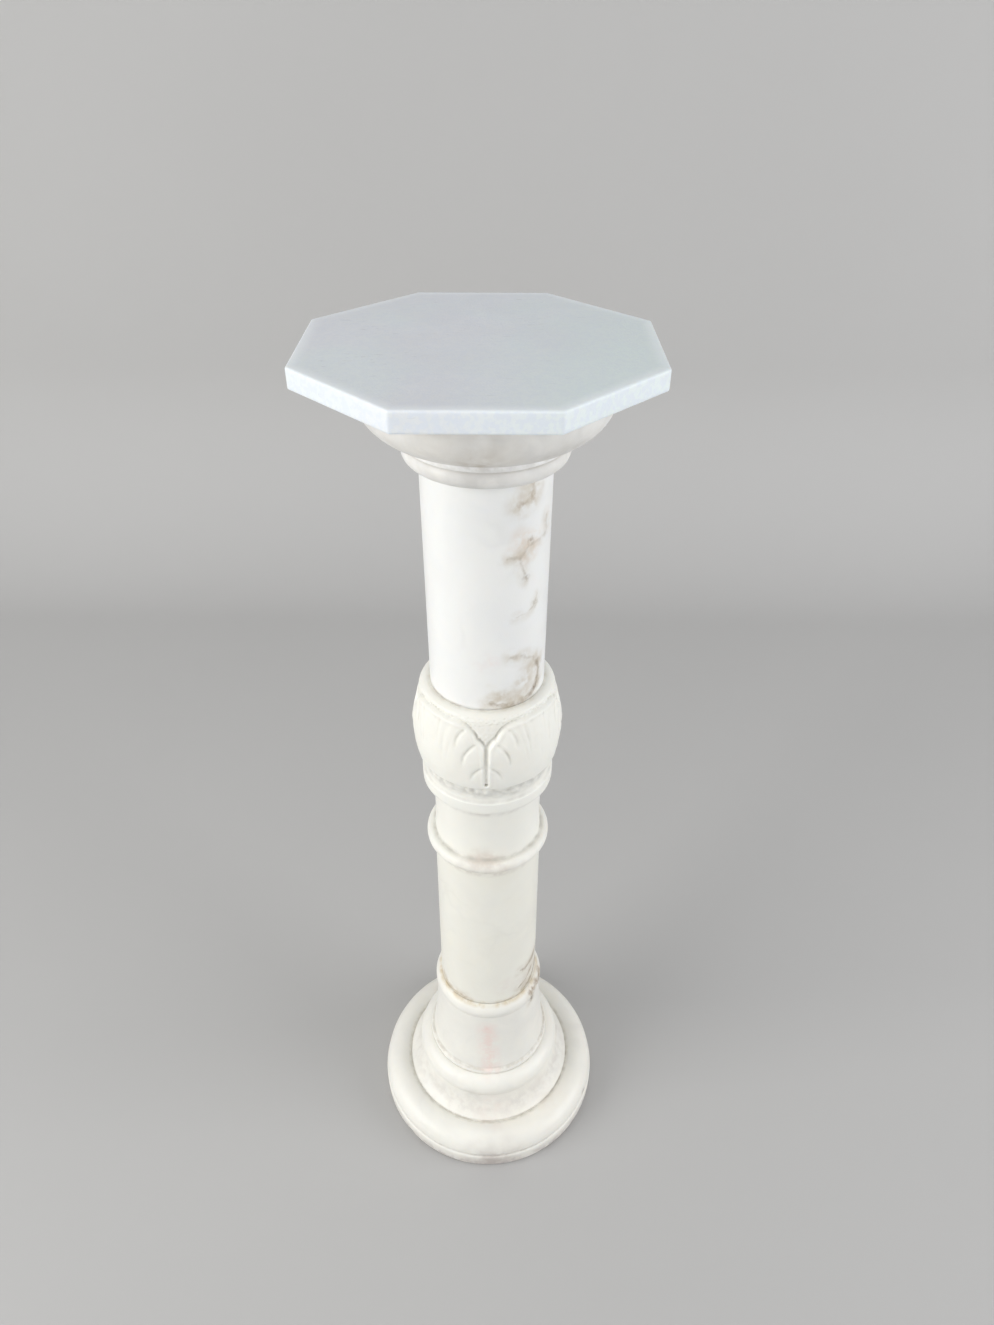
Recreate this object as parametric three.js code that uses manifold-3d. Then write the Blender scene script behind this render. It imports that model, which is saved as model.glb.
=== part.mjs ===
// Turned and carved marble column that carries an octagonal slab, millimetres, +Z up.
// The origin lies on the column's axis at the underside of its foot, and -Y is the front.

import * as THREE from "three";
import { mergeVertices } from "three/addons/utils/BufferGeometryUtils.js";
import Module from "manifold-3d";

const wasm = await Module();
wasm.setup();

// Fineness of the facets
const ROUND_SIDES = 48;
const ARC_STEP_DEGREES = 31;
const ARC_LEAST_STEPS = 2;
const LEAF_STEPS = 5;
const CUT_STEPS = 3;

// Lower shaft
const LOWER_SHAFT_HEIGHT = 240.5;
const LOWER_SHAFT_FOOT_RADIUS = 57.7;
const LOWER_SHAFT_TOP_RADIUS = 56.6;

// Upper shaft
const UPPER_SHAFT_HEIGHT = 223;
const UPPER_SHAFT_FOOT_RADIUS = 54.1;
const UPPER_SHAFT_TOP_RADIUS = 55.3;

// Base, from the shaft outwards and from the top down
const LIP_MARGIN = 0.3;
const LIP_WIDTH = 5.2;
const LIP_HEIGHT = 20;
const LIP_SWELL = 4.1;
const COLLAR_HEIGHT = 99.2;
const COLLAR_FLARE = 8.3;
const COLLAR_HOLLOW = 1.5;
const COLLAR_BEAD_HEIGHT = 8.3;
const COLLAR_BEAD_WIDTH = 2.3;
const COLLAR_BEAD_SWELL = 2.6;
const COLLAR_LEDGE = 2.2;
const RING_HEIGHT = 24;
const RING_WIDTH = 12.5;
const RING_SWELL = 6;
const RING_OVERHANG = 1.3;
const SCOTIA_HEIGHT = 33;
const SCOTIA_WIDTH = 17;
const SCOTIA_HOLLOW = 5.4;
const FILLET_HEIGHT = 2.5;
const FILLET_WIDTH = 1.2;
const TORUS_HEIGHT = 19.7;
const TORUS_WIDTH = 32.8;
const TORUS_SWELL = 11;
const GROOVE_HEIGHT = 1.8;
const GROOVE_DEPTH = 3;
const FOOT_BAND_HEIGHT = 23.5;
const FOOT_BAND_OUTSTAND = 1.6;
const FOOT_EDGE_HEIGHT = 8;
const FOOT_EDGE_INSET = 4.5;
const FOOT_EDGE_SWELL = 1.7;
const FOOT_SHOULDER_HEIGHT = 3.5;
const FOOT_SHOULDER_INSET = 2;
const FOOT_SHOULDER_SWELL = 0.7;

// Knop below the leaves: a bead on the lower shaft and a hollow-sided drum
const KNOP_BEAD_RADIUS = 6.9;
const KNOP_BEAD_OFFSET = 1.9;
const KNOP_DRUM_STEP = -0.4;
const KNOP_DRUM_HEIGHT = 78.3;
const KNOP_DRUM_HOLLOW = 1.6;
const KNOP_DRUM_FLARE = 1;

// Band, cavetto and bowl between the knop and the leaves
const BAND_WIDTH = 9;
const BAND_HEIGHT = 12.5;
const BAND_DRAW = 0.1;
const CAVETTO_HEIGHT = 8.5;
const CAVETTO_DRAW = 2.7;
const CAVETTO_HOLLOW = 1.1;
const BOWL_HEIGHT = 16.5;
const BOWL_FLARE = 1.9;
const BOWL_SWELL = 0.8;

// Cup with four leaves, open towards the upper shaft
const LEAF_COUNT = 4;
const LEAF_HEIGHT = 79.5;
const LEAF_FOOT_OVERHANG = 3.2;
const LEAF_SWELL = 6.1;
const LEAF_FOOT_RELIEF = 3.1;
const LEAF_TOP_RELIEF = 0.7;
const LEAF_EDGE_ROUND = 2;
const CUP_LEDGE_WIDTH = 11.3;
const CUP_RIM_RISE = 4.9;
const CUP_RIM_ROUND = 6;
const CUP_SWELL = 3;
const VEIN_DEPTH = 1.7;
const VEIN_WIDTH = 2.9;
const GAP_WIDTH = 1.9;
const GAP_TAPER = 0.55;
const DRILL_RADIUS = 1.6;
const DRILL_DEPTH = 3.5;
const DRILL_SIDES = 10;

// Leaf carving, as shares of a half leaf from the gap to the midrib and of the leaf's height
const NOTCH_FOOT_SHARE = 0.63;
const DRILL_SHARE = 0.07;
const MARGIN_LOBES = [
  { across: 0.17, up: 0.75, swell: 1.1 },
  { across: 0.34, up: 0.93, swell: 1.4 },
  { across: 0.64, up: 0.985, swell: 1.2 },
  { across: 0.96, up: 1.01, swell: 0.5 },
];
const VEINS = [
  { from: [0.34, 0.885], to: [0.52, 0.63], swell: 1.6 },
  { from: [0.19, 0.69], to: [0.4, 0.4], swell: 1.9 },
  { from: [0.06, 0.36], to: [0.27, 0.15], swell: 2.8 },
];

// Capital, from the upper shaft outwards and upwards
const ROLL_OVERHANG = 4.2;
const ROLL_HEIGHT = 15.8;
const ROLL_WIDTH = 6.6;
const ROLL_SWELL = 5.6;
const CAPITAL_FILLET_STEP = 1.4;
const CAPITAL_FILLET_HEIGHT = 8.2;
const CAPITAL_FILLET_FLARE = 0.9;
const OVOLO_STEP = 3.6;
const OVOLO_HEIGHT = 33.3;
const OVOLO_WIDTH = 31.5;
const OVOLO_SWELL = 7.8;
const ABACUS_HEIGHT = 16.7;
const ABACUS_FLARE = 2.5;
const ABACUS_SWELL = 0.8;

// Octagonal slab, lying loose and a little to the left of the axis
const SLAB_SIDES = 8;
const SLAB_ACROSS_FLATS = 272;
const SLAB_THICKNESS = 16.5;
const SLAB_ARRIS = 1.8;
const SLAB_ARRIS_STEPS = 3;
const SLAB_SHIFT = -4.5;

// An outline drawn upwards as straight runs and circular arcs
class Outline {
  constructor(radius, height) {
    this.points = [new THREE.Vector2(radius, height)];
  }

  get end() {
    return this.points[this.points.length - 1];
  }

  line(radius, rise) {
    this.points.push(new THREE.Vector2(radius, this.end.y + rise));
    return this;
  }

  // The arc's middle stands off its chord by the swell, to the right of the way it runs
  arc(radius, rise, swell, steps = 0) {
    const start = this.end.clone();
    const finish = new THREE.Vector2(radius, start.y + rise);
    const chord = finish.clone().sub(start);
    const half = chord.length() / 2;
    const side = new THREE.Vector2(chord.y, -chord.x).normalize();
    const arcRadius = (half * half + swell * swell) / (2 * Math.abs(swell));
    const turn = THREE.MathUtils.radToDeg(4 * Math.atan(Math.abs(swell) / half));
    const count = steps || Math.max(ARC_LEAST_STEPS, Math.ceil(turn / ARC_STEP_DEGREES));
    for (let i = 1; i <= count; i += 1) {
      const along = (2 * i) / count - 1;
      const reach = Math.sqrt(Math.max(0, arcRadius * arcRadius - along * along * half * half));
      const stand = Math.sign(swell) * (reach - arcRadius + Math.abs(swell));
      const point = start.clone().lerp(finish, (along + 1) / 2).addScaledVector(side, stand);
      this.points.push(point);
    }
    return this;
  }
}

// Shared corners are merged, and triangles that have shrunk to a line at the axis are dropped
function closedMesh(geometry) {
  geometry.deleteAttribute("normal");
  geometry.deleteAttribute("uv");
  const merged = mergeVertices(geometry, 1e-4);
  const corners = merged.index.array;
  const kept = [];
  for (let i = 0; i < corners.length; i += 3) {
    const [a, b, c] = [corners[i], corners[i + 1], corners[i + 2]];
    if (a !== b && b !== c && c !== a) {
      kept.push(a, b, c);
    }
  }
  merged.setIndex(kept);
  return merged;
}

// A solid of revolution about the vertical axis
function turned(points) {
  const lathe = new THREE.LatheGeometry(points, ROUND_SIDES);
  lathe.rotateX(Math.PI / 2);
  return closedMesh(lathe);
}

function turnedOnAxis(outline) {
  const start = new THREE.Vector2(0, outline.points[0].y);
  const finish = new THREE.Vector2(0, outline.end.y);
  return turned([start, ...outline.points, finish]);
}

function toSolid(geometry) {
  return new wasm.Manifold(
    new wasm.Mesh({
      numProp: 3,
      vertProperties: new Float32Array(geometry.attributes.position.array),
      triVerts: new Uint32Array(geometry.index.array),
    }),
  );
}

function toGeometry(solid) {
  const mesh = solid.getMesh();
  const geometry = new THREE.BufferGeometry();
  geometry.setAttribute("position", new THREE.BufferAttribute(new Float32Array(mesh.vertProperties), 3));
  geometry.setIndex(Array.from(mesh.triVerts));
  return geometry;
}

function piece(name, geometry, color, roughness) {
  geometry.computeVertexNormals();
  const material = new THREE.MeshStandardMaterial({ color, roughness, metalness: 0 });
  const mesh = new THREE.Mesh(geometry, material);
  mesh.name = name;
  return mesh;
}

// Base: foot band, torus, scotia and ring carry a flared collar with a rolled lip
function baseOutline() {
  const seatRadius = LOWER_SHAFT_FOOT_RADIUS + LIP_MARGIN;
  const collarTop = seatRadius + LIP_WIDTH;
  const collarFoot = collarTop + COLLAR_FLARE;
  const beadFoot = collarFoot + COLLAR_BEAD_WIDTH;
  const ringTop = beadFoot + COLLAR_LEDGE;
  const ringFoot = ringTop + RING_WIDTH;
  const scotiaTop = ringFoot - RING_OVERHANG;
  const scotiaFoot = scotiaTop + SCOTIA_WIDTH;
  const torusTop = scotiaFoot + FILLET_WIDTH;
  const torusFoot = torusTop + TORUS_WIDTH;
  const band = torusFoot + FOOT_BAND_OUTSTAND;
  return new Outline(band - FOOT_EDGE_INSET, 0)
    .arc(band, FOOT_EDGE_HEIGHT, FOOT_EDGE_SWELL)
    .line(band, FOOT_BAND_HEIGHT - FOOT_EDGE_HEIGHT - FOOT_SHOULDER_HEIGHT)
    .arc(band - FOOT_SHOULDER_INSET, FOOT_SHOULDER_HEIGHT, FOOT_SHOULDER_SWELL)
    .line(torusFoot - GROOVE_DEPTH, GROOVE_HEIGHT)
    .line(torusFoot, 0)
    .arc(torusTop, TORUS_HEIGHT, TORUS_SWELL)
    .line(scotiaFoot, 0)
    .line(scotiaFoot, FILLET_HEIGHT)
    .arc(scotiaTop, SCOTIA_HEIGHT, -SCOTIA_HOLLOW)
    .line(ringFoot, 0)
    .arc(ringTop, RING_HEIGHT, RING_SWELL)
    .line(beadFoot, 0)
    .arc(collarFoot, COLLAR_BEAD_HEIGHT, COLLAR_BEAD_SWELL)
    .arc(collarTop, COLLAR_HEIGHT, -COLLAR_HOLLOW)
    .arc(seatRadius, LIP_HEIGHT, LIP_SWELL);
}

function shaftOutline(footRadius, topRadius, foot, height) {
  return new Outline(footRadius, foot).line(topRadius, height);
}

// Knop, band, bowl and the cup behind the leaves, up to the ledge that the upper shaft stands on
function cupOutline(foot) {
  const beadCentre = LOWER_SHAFT_TOP_RADIUS + KNOP_BEAD_OFFSET;
  const drum = LOWER_SHAFT_TOP_RADIUS + KNOP_DRUM_STEP;
  const drumTop = drum + KNOP_DRUM_FLARE;
  const band = drumTop + BAND_WIDTH;
  const bowlFoot = band - CAVETTO_DRAW;
  const rim = cupRimRadius();
  return new Outline(beadCentre, foot)
    .arc(beadCentre, 2 * KNOP_BEAD_RADIUS, KNOP_BEAD_RADIUS)
    .line(drum, 0)
    .arc(drumTop, KNOP_DRUM_HEIGHT, -KNOP_DRUM_HOLLOW)
    .line(band - BAND_DRAW, 0)
    .line(band, BAND_HEIGHT)
    .arc(bowlFoot, CAVETTO_HEIGHT, -CAVETTO_HOLLOW)
    .arc(bowlFoot + BOWL_FLARE, BOWL_HEIGHT, BOWL_SWELL)
    .arc(rim, LEAF_HEIGHT + CUP_RIM_RISE - CUP_RIM_ROUND, CUP_SWELL, LEAF_STEPS)
    .arc(rim - CUP_RIM_ROUND, CUP_RIM_ROUND, CUP_RIM_ROUND / 4);
}

function cupRimRadius() {
  return UPPER_SHAFT_FOOT_RADIUS + CUP_LEDGE_WIDTH;
}

function leafFootRadius() {
  return LOWER_SHAFT_TOP_RADIUS + KNOP_DRUM_STEP + KNOP_DRUM_FLARE + BAND_WIDTH + LEAF_FOOT_OVERHANG;
}

function leafFootHeight(foot) {
  return foot + 2 * KNOP_BEAD_RADIUS + KNOP_DRUM_HEIGHT + BAND_HEIGHT + CAVETTO_HEIGHT + BOWL_HEIGHT;
}

// A ring whose outer face is the leaves' face, set back by a depth, and whose inner face is in the cup
function leafRing(foot, setBack) {
  const top = cupRimRadius() + LEAF_TOP_RELIEF - setBack;
  const start = leafFootRadius() - setBack;
  const inner = Math.min(top, start) - 2 * LEAF_FOOT_RELIEF;
  const straight = LEAF_HEIGHT - LEAF_EDGE_ROUND;
  const outline = new Outline(inner, leafFootHeight(foot))
    .line(start, 0)
    .arc(top, straight, LEAF_SWELL, LEAF_STEPS)
    .arc(top - LEAF_EDGE_ROUND, LEAF_EDGE_ROUND, LEAF_EDGE_ROUND / 4)
    .line(inner, 0);
  outline.line(inner, -LEAF_HEIGHT);
  return toSolid(turned(outline.points));
}

// A place on the leaf as sideways distance from the gap and height
function leafPlace(foot, across, up) {
  const belly = (leafFootRadius() + cupRimRadius() + LEAF_TOP_RELIEF) / 2 + LEAF_SWELL;
  const turn = (across * Math.PI) / LEAF_COUNT;
  return new THREE.Vector2(belly * Math.sin(turn), leafFootHeight(foot) + up * LEAF_HEIGHT);
}

// A prism with the given outline that runs out of the column through its front
function radialPrism(points, reachFrom, reachTo) {
  const shape = new THREE.Shape(points);
  const prism = new THREE.ExtrudeGeometry(shape, { depth: reachTo - reachFrom, bevelEnabled: false });
  prism.translate(0, 0, reachFrom);
  prism.rotateX(Math.PI / 2);
  return toSolid(closedMesh(prism));
}

function mirrored(points) {
  return points.map((p) => new THREE.Vector2(-p.x, p.y)).reverse();
}

// The open notch between two leaves, with their lobed margins, and the narrow gap below it
function notchPoints(foot) {
  const bottom = leafPlace(foot, 0, NOTCH_FOOT_SHARE);
  const drill = leafPlace(foot, 0, DRILL_SHARE);
  const margin = new Outline((GAP_WIDTH * GAP_TAPER) / 2, drill.y).line(GAP_WIDTH / 2, bottom.y - drill.y);
  for (const lobe of MARGIN_LOBES) {
    const tip = leafPlace(foot, lobe.across, lobe.up);
    margin.arc(tip.x, tip.y - margin.end.y, -lobe.swell, CUT_STEPS);
  }
  margin.line(margin.end.x, LEAF_HEIGHT);
  return [...margin.points, ...mirrored(margin.points)];
}

// One curved cut of the chisel, widest in its middle and pointed at both ends
function veinPoints(foot, vein) {
  const start = leafPlace(foot, ...vein.from);
  const finish = leafPlace(foot, ...vein.to);
  const upper = new Outline(start.x, start.y).arc(
    finish.x, finish.y - start.y, -vein.swell - VEIN_WIDTH, CUT_STEPS,
  );
  const lower = new Outline(start.x, start.y).arc(finish.x, finish.y - start.y, -vein.swell, CUT_STEPS);
  return [...upper.points, ...lower.points.slice(1, -1).reverse()];
}

function aroundColumn(solid) {
  const turns = Array.from({ length: LEAF_COUNT }, (_, i) => solid.rotate([0, 0, (i * 360) / LEAF_COUNT]));
  return turns.reduce((all, next) => all.add(next));
}

function veinCuts(foot, reach) {
  const cuts = [];
  for (const vein of VEINS) {
    const points = veinPoints(foot, vein);
    cuts.push(radialPrism(points, 0, reach), radialPrism(mirrored(points), 0, reach));
  }
  return aroundColumn(cuts.reduce((all, next) => all.add(next)));
}

// The drilled eye at the foot of each gap
function drillHoles(foot, reach) {
  const eye = leafPlace(foot, 0, DRILL_SHARE);
  const points = [];
  for (let i = 0; i < DRILL_SIDES; i += 1) {
    const turn = (i * 2 * Math.PI) / DRILL_SIDES;
    points.push(new THREE.Vector2(DRILL_RADIUS * Math.cos(turn), eye.y + DRILL_RADIUS * Math.sin(turn)));
  }
  return aroundColumn(radialPrism(points, leafFootRadius() - LEAF_FOOT_RELIEF - DRILL_DEPTH, reach));
}

function leafKnop(foot) {
  const reach = 2 * (leafFootRadius() + LEAF_SWELL);
  const face = leafRing(foot, 0).subtract(veinCuts(foot, reach));
  const veined = face.add(leafRing(foot, VEIN_DEPTH));
  const leaves = veined.subtract(aroundColumn(radialPrism(notchPoints(foot), 0, reach)));
  const cup = toSolid(turnedOnAxis(cupOutline(foot)));
  return toGeometry(cup.add(leaves).subtract(drillHoles(foot, reach)));
}

// Capital: a roll, a fillet and a deep ovolo under a plain edge
function capitalOutline(foot) {
  const rollFoot = UPPER_SHAFT_TOP_RADIUS + ROLL_OVERHANG;
  const rollTop = rollFoot + ROLL_WIDTH;
  const fillet = rollTop + CAPITAL_FILLET_STEP;
  const filletTop = fillet + CAPITAL_FILLET_FLARE;
  const ovoloFoot = filletTop + OVOLO_STEP;
  const ovoloTop = ovoloFoot + OVOLO_WIDTH;
  return new Outline(rollFoot, foot)
    .arc(rollTop, ROLL_HEIGHT, ROLL_SWELL)
    .line(fillet, 0)
    .line(filletTop, CAPITAL_FILLET_HEIGHT)
    .line(ovoloFoot, 0)
    .arc(ovoloTop, OVOLO_HEIGHT, OVOLO_SWELL)
    .arc(ovoloTop + ABACUS_FLARE, ABACUS_HEIGHT, ABACUS_SWELL);
}

// Slab: a regular octagon with one flat to the front and rounded arrises
function slabGeometry(foot) {
  const cornerRadius = SLAB_ACROSS_FLATS / 2 / Math.cos(Math.PI / SLAB_SIDES);
  const corners = [];
  for (let i = 0; i < SLAB_SIDES; i += 1) {
    const turn = ((2 * i + 1) * Math.PI) / SLAB_SIDES;
    corners.push(new THREE.Vector2(cornerRadius * Math.cos(turn), cornerRadius * Math.sin(turn)));
  }
  const slab = new THREE.ExtrudeGeometry(new THREE.Shape(corners), {
    depth: SLAB_THICKNESS - 2 * SLAB_ARRIS,
    bevelEnabled: true,
    bevelThickness: SLAB_ARRIS,
    bevelSize: SLAB_ARRIS,
    bevelOffset: -SLAB_ARRIS,
    bevelSegments: SLAB_ARRIS_STEPS,
  });
  slab.translate(SLAB_SHIFT, 0, foot + SLAB_ARRIS);
  return closedMesh(slab);
}

const base = baseOutline();
const lowerShaft = shaftOutline(
  LOWER_SHAFT_FOOT_RADIUS, LOWER_SHAFT_TOP_RADIUS, base.end.y, LOWER_SHAFT_HEIGHT,
);
const cupTop = cupOutline(lowerShaft.end.y).end.y;
const upperShaft = shaftOutline(UPPER_SHAFT_FOOT_RADIUS, UPPER_SHAFT_TOP_RADIUS, cupTop, UPPER_SHAFT_HEIGHT);
const capital = capitalOutline(upperShaft.end.y);

const column = new THREE.Group();
column.add(
  piece("base", turnedOnAxis(base), "#e6e3da", 0.35),
  piece("lower_shaft", turnedOnAxis(lowerShaft), "#e4e2d8", 0.32),
  piece("leaf_knop", leafKnop(lowerShaft.end.y), "#ecebe4", 0.45),
  piece("upper_shaft", turnedOnAxis(upperShaft), "#f0f0ec", 0.3),
  piece("capital", turnedOnAxis(capital), "#dedad2", 0.4),
  piece("top_slab", slabGeometry(capital.end.y), "#d3d9de", 0.38),
);

export default column;
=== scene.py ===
"""Turned and carved marble column with a loose octagonal slab, dressed in the frame of its solids."""

import logging
import math
from dataclasses import dataclass, replace
from enum import Enum
from typing import Any, Iterable, Sequence, Union

import bmesh
import bpy
import numpy as np
from mathutils import Matrix, Vector


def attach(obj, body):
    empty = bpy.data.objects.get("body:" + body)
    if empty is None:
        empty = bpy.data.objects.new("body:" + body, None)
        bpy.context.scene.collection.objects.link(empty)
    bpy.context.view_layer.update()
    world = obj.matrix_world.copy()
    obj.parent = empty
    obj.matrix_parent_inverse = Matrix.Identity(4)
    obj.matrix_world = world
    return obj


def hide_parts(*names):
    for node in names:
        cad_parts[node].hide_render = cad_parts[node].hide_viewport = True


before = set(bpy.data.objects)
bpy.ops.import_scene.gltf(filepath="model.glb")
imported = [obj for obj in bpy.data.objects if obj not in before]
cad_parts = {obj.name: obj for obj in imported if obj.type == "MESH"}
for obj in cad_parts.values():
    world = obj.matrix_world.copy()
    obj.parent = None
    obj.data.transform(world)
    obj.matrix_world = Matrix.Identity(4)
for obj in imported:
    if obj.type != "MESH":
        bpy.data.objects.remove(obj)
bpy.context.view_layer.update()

LOG = logging.getLogger("column")
MM = 0.001
FULL_TURN = 2 * math.pi
CLOSE = 0.05
NOISE_MIDDLE = 0.5
WAVE_SPREAD = (0.7, 1.5)
CHIP_GRAIN = 3.1
SMALL = 1e-9

Pair = tuple[float, float]
Triple = tuple[float, float, float]
Colour = Triple
Point = Triple
AXIS: Point = (0.0, 0.0, 1.0)


class Slot(Enum):
    """Material slots of the record."""

    BASE = "base_stone"
    LOWER_SHAFT = "lower_shaft_stone"
    CARVED = "carved_stone"
    UPPER_SHAFT = "upper_shaft_stone"
    CAPITAL = "capital_stone"
    SLAB = "slab_stone"


class Term:
    """An output socket of a material that takes part in Python expressions."""

    def __init__(self, shader: "Shader", socket: bpy.types.NodeSocket) -> None:
        """Wraps an output socket of the shader's tree."""
        self.shader = shader
        self.socket = socket

    def sibling(self, name: str) -> "Term":
        """Gives another output of the same node."""
        return Term(self.shader, self.socket.node.outputs[name])

    def __add__(self, other: "Value") -> "Term":
        """Adds two values, in either order."""
        return self.shader.math("ADD", self, other)

    __radd__ = __add__

    def __sub__(self, other: "Value") -> "Term":
        """Subtracts the other value."""
        return self.shader.math("SUBTRACT", self, other)

    def __rsub__(self, other: "Value") -> "Term":
        """Subtracts this value from a number."""
        return self.shader.math("SUBTRACT", other, self)

    def __mul__(self, other: "Value") -> "Term":
        """Multiplies two values, in either order."""
        return self.shader.math("MULTIPLY", self, other)

    __rmul__ = __mul__

    def __truediv__(self, other: "Value") -> "Term":
        """Divides by the other value."""
        return self.shader.math("DIVIDE", self, other)

    def __pow__(self, other: "Value") -> "Term":
        """Raises to a power."""
        return self.shader.math("POWER", self, other)

    def __abs__(self) -> "Term":
        """Gives the size without its sign."""
        return self.shader.math("ABSOLUTE", self)

    def least(self, other: "Value") -> "Term":
        """Gives the smaller of two values."""
        return self.shader.math("MINIMUM", self, other)

    def most(self, other: "Value") -> "Term":
        """Gives the larger of two values."""
        return self.shader.math("MAXIMUM", self, other)

    def rise(self, low: float, high: float) -> "Term":
        """Rises smoothly from 0 at low to 1 at high, or falls where low is the larger.

        Args:
            low: value at which the result is 0.
            high: value at which the result is 1.

        Returns:
            The smooth step.
        """
        ends = {"Value": self, "From Min": low, "From Max": high}
        if low > high:
            ends = {"Value": self, "From Min": high, "From Max": low, "To Min": 1.0, "To Max": 0.0}
        return self.shader.node("ShaderNodeMapRange", {"interpolation_type": "SMOOTHSTEP"}, ends)


Value = Union[Term, float]


class Shader:
    """One material, with methods that add nodes and return their outputs."""

    def __init__(self, name: str) -> None:
        """Starts an empty material that reads Object coordinates, in millimetres.

        Args:
            name: the material's name.
        """
        self.material = bpy.data.materials.new(name)
        self.material.use_nodes = True
        self.tree = self.material.node_tree
        self.tree.nodes.clear()
        metres = self.node("ShaderNodeTexCoord", {}, {}, "Object")
        self.place = self.vector("SCALE", metres, scale=1 / MM)

    def node(
        self,
        kind: str,
        settings: dict[str, Any],
        inputs: dict[Union[str, int], Any],
        output: Union[str, int] = 0,
    ) -> Term:
        """Adds one node.

        Args:
            kind: the node's type.
            settings: properties that are set first.
            inputs: values or terms by socket name or number.
            output: the output that is returned.

        Returns:
            The chosen output.
        """
        made = self.tree.nodes.new(kind)
        for key, value in settings.items():
            setattr(made, key, value)
        for key, value in inputs.items():
            if isinstance(value, Term):
                self.tree.links.new(value.socket, made.inputs[key])
            else:
                made.inputs[key].default_value = value
        return Term(self, made.outputs[output] if made.outputs else None)

    def math(self, operation: str, *values: Value) -> Term:
        """Adds a Math node on one or two values."""
        return self.node("ShaderNodeMath", {"operation": operation}, dict(enumerate(values)))

    def vector(self, operation: str, *vectors: Any, scale: Value = 1.0) -> Term:
        """Adds a Vector Math node.

        Args:
            operation: the node's operation.
            vectors: one or two vectors, as terms or as three numbers.
            scale: the factor of a SCALE operation.

        Returns:
            The vector, or the number for a length or a product.
        """
        inputs: dict[Union[str, int], Any] = dict(enumerate(vectors))
        if operation == "SCALE":
            inputs["Scale"] = scale
        output = "Value" if operation in ("LENGTH", "DOT_PRODUCT", "DISTANCE") else "Vector"
        return self.node("ShaderNodeVectorMath", {"operation": operation}, inputs, output)

    def blend(self, factor: Value, first: Any, second: Any, mode: str = "MIX") -> Term:
        """Mixes two colours.

        Args:
            factor: share of the second colour.
            first: colour or term.
            second: colour or term.
            mode: the Mix node's blend type.

        Returns:
            The mixed colour.
        """
        colours = [c if isinstance(c, Term) else (*c, 1.0) for c in (first, second)]
        settings = {"data_type": "RGBA", "blend_type": mode, "clamp_factor": True}
        return self.node("ShaderNodeMix", settings, {0: factor, 6: colours[0], 7: colours[1]}, 2)

    def noise(self, place: Term, length: float, detail: float = 3.0, twist: float = 0.0) -> Term:
        """Adds a noise pattern.

        Args:
            place: coordinates in millimetres.
            length: size of its largest cells in millimetres.
            detail: number of finer layers.
            twist: distortion of the pattern.

        Returns:
            A value around one half.
        """
        inputs = {"Vector": place, "Scale": 1 / length, "Detail": detail, "Distortion": twist}
        return self.node("ShaderNodeTexNoise", {}, inputs, "Fac")

    def crystals(self, length: float) -> Term:
        """Gives the distance to the nearest crystal's middle, for crystals of a length in millimetres."""
        inputs = {"Vector": self.place, "Scale": 1 / length}
        return self.node("ShaderNodeTexVoronoi", {}, inputs, "Distance")

    def along(self, heading: Point) -> Term:
        """Gives how far each place lies along a direction, in millimetres."""
        return self.vector("DOT_PRODUCT", self.place, heading)

    def warped(self, amount: float, length: float, detail: float = 2.0) -> Term:
        """Gives the coordinates moved about by noise.

        Args:
            amount: greatest move in millimetres.
            length: size of the noise in millimetres.
            detail: number of its finer layers.

        Returns:
            The moved coordinates.
        """
        drift = self.noise(self.place, length, detail).sibling("Color")
        centred = self.vector("SUBTRACT", drift, (NOISE_MIDDLE,) * 3)
        return self.vector("ADD", self.place, self.vector("SCALE", centred, scale=2 * amount))

    def attribute(self, name: str) -> Term:
        """Reads a value that the piece's mesh carries."""
        return self.node("ShaderNodeAttribute", {"attribute_name": name}, {}, "Fac")

    def distance(self, place: Term, path: Sequence[Point]) -> Term:
        """Gives the distance from a broken line.

        Args:
            place: coordinates in millimetres.
            path: the line's points in millimetres.

        Returns:
            The distance in millimetres.
        """
        nearest = None
        for start, end in zip(path, path[1:]):
            run = Vector(end) - Vector(start)
            away = self.vector("SUBTRACT", place, start)
            share = self.vector("DOT_PRODUCT", away, tuple(run / run.length_squared))
            held = share.most(0.0).least(1.0)
            along = self.vector("SCALE", tuple(run), scale=held)
            here = self.vector("LENGTH", self.vector("SUBTRACT", away, along))
            nearest = here if nearest is None else nearest.least(here)
        return nearest


@dataclass(frozen=True)
class Patches:
    """Soft patches of noise: length in millimetres, layers, and the values at which they start and fill."""

    length: float
    detail: float
    start: float
    full: float
    twist: float = 0.0
    wander: Pair = (0.0, 0.0)

    def over(self, shader: Shader) -> Term:
        """Spreads the patches over the stone."""
        place = shader.warped(*self.wander) if self.wander[0] else shader.place
        return shader.noise(place, self.length, self.detail, self.twist).rise(self.start, self.full)


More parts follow.
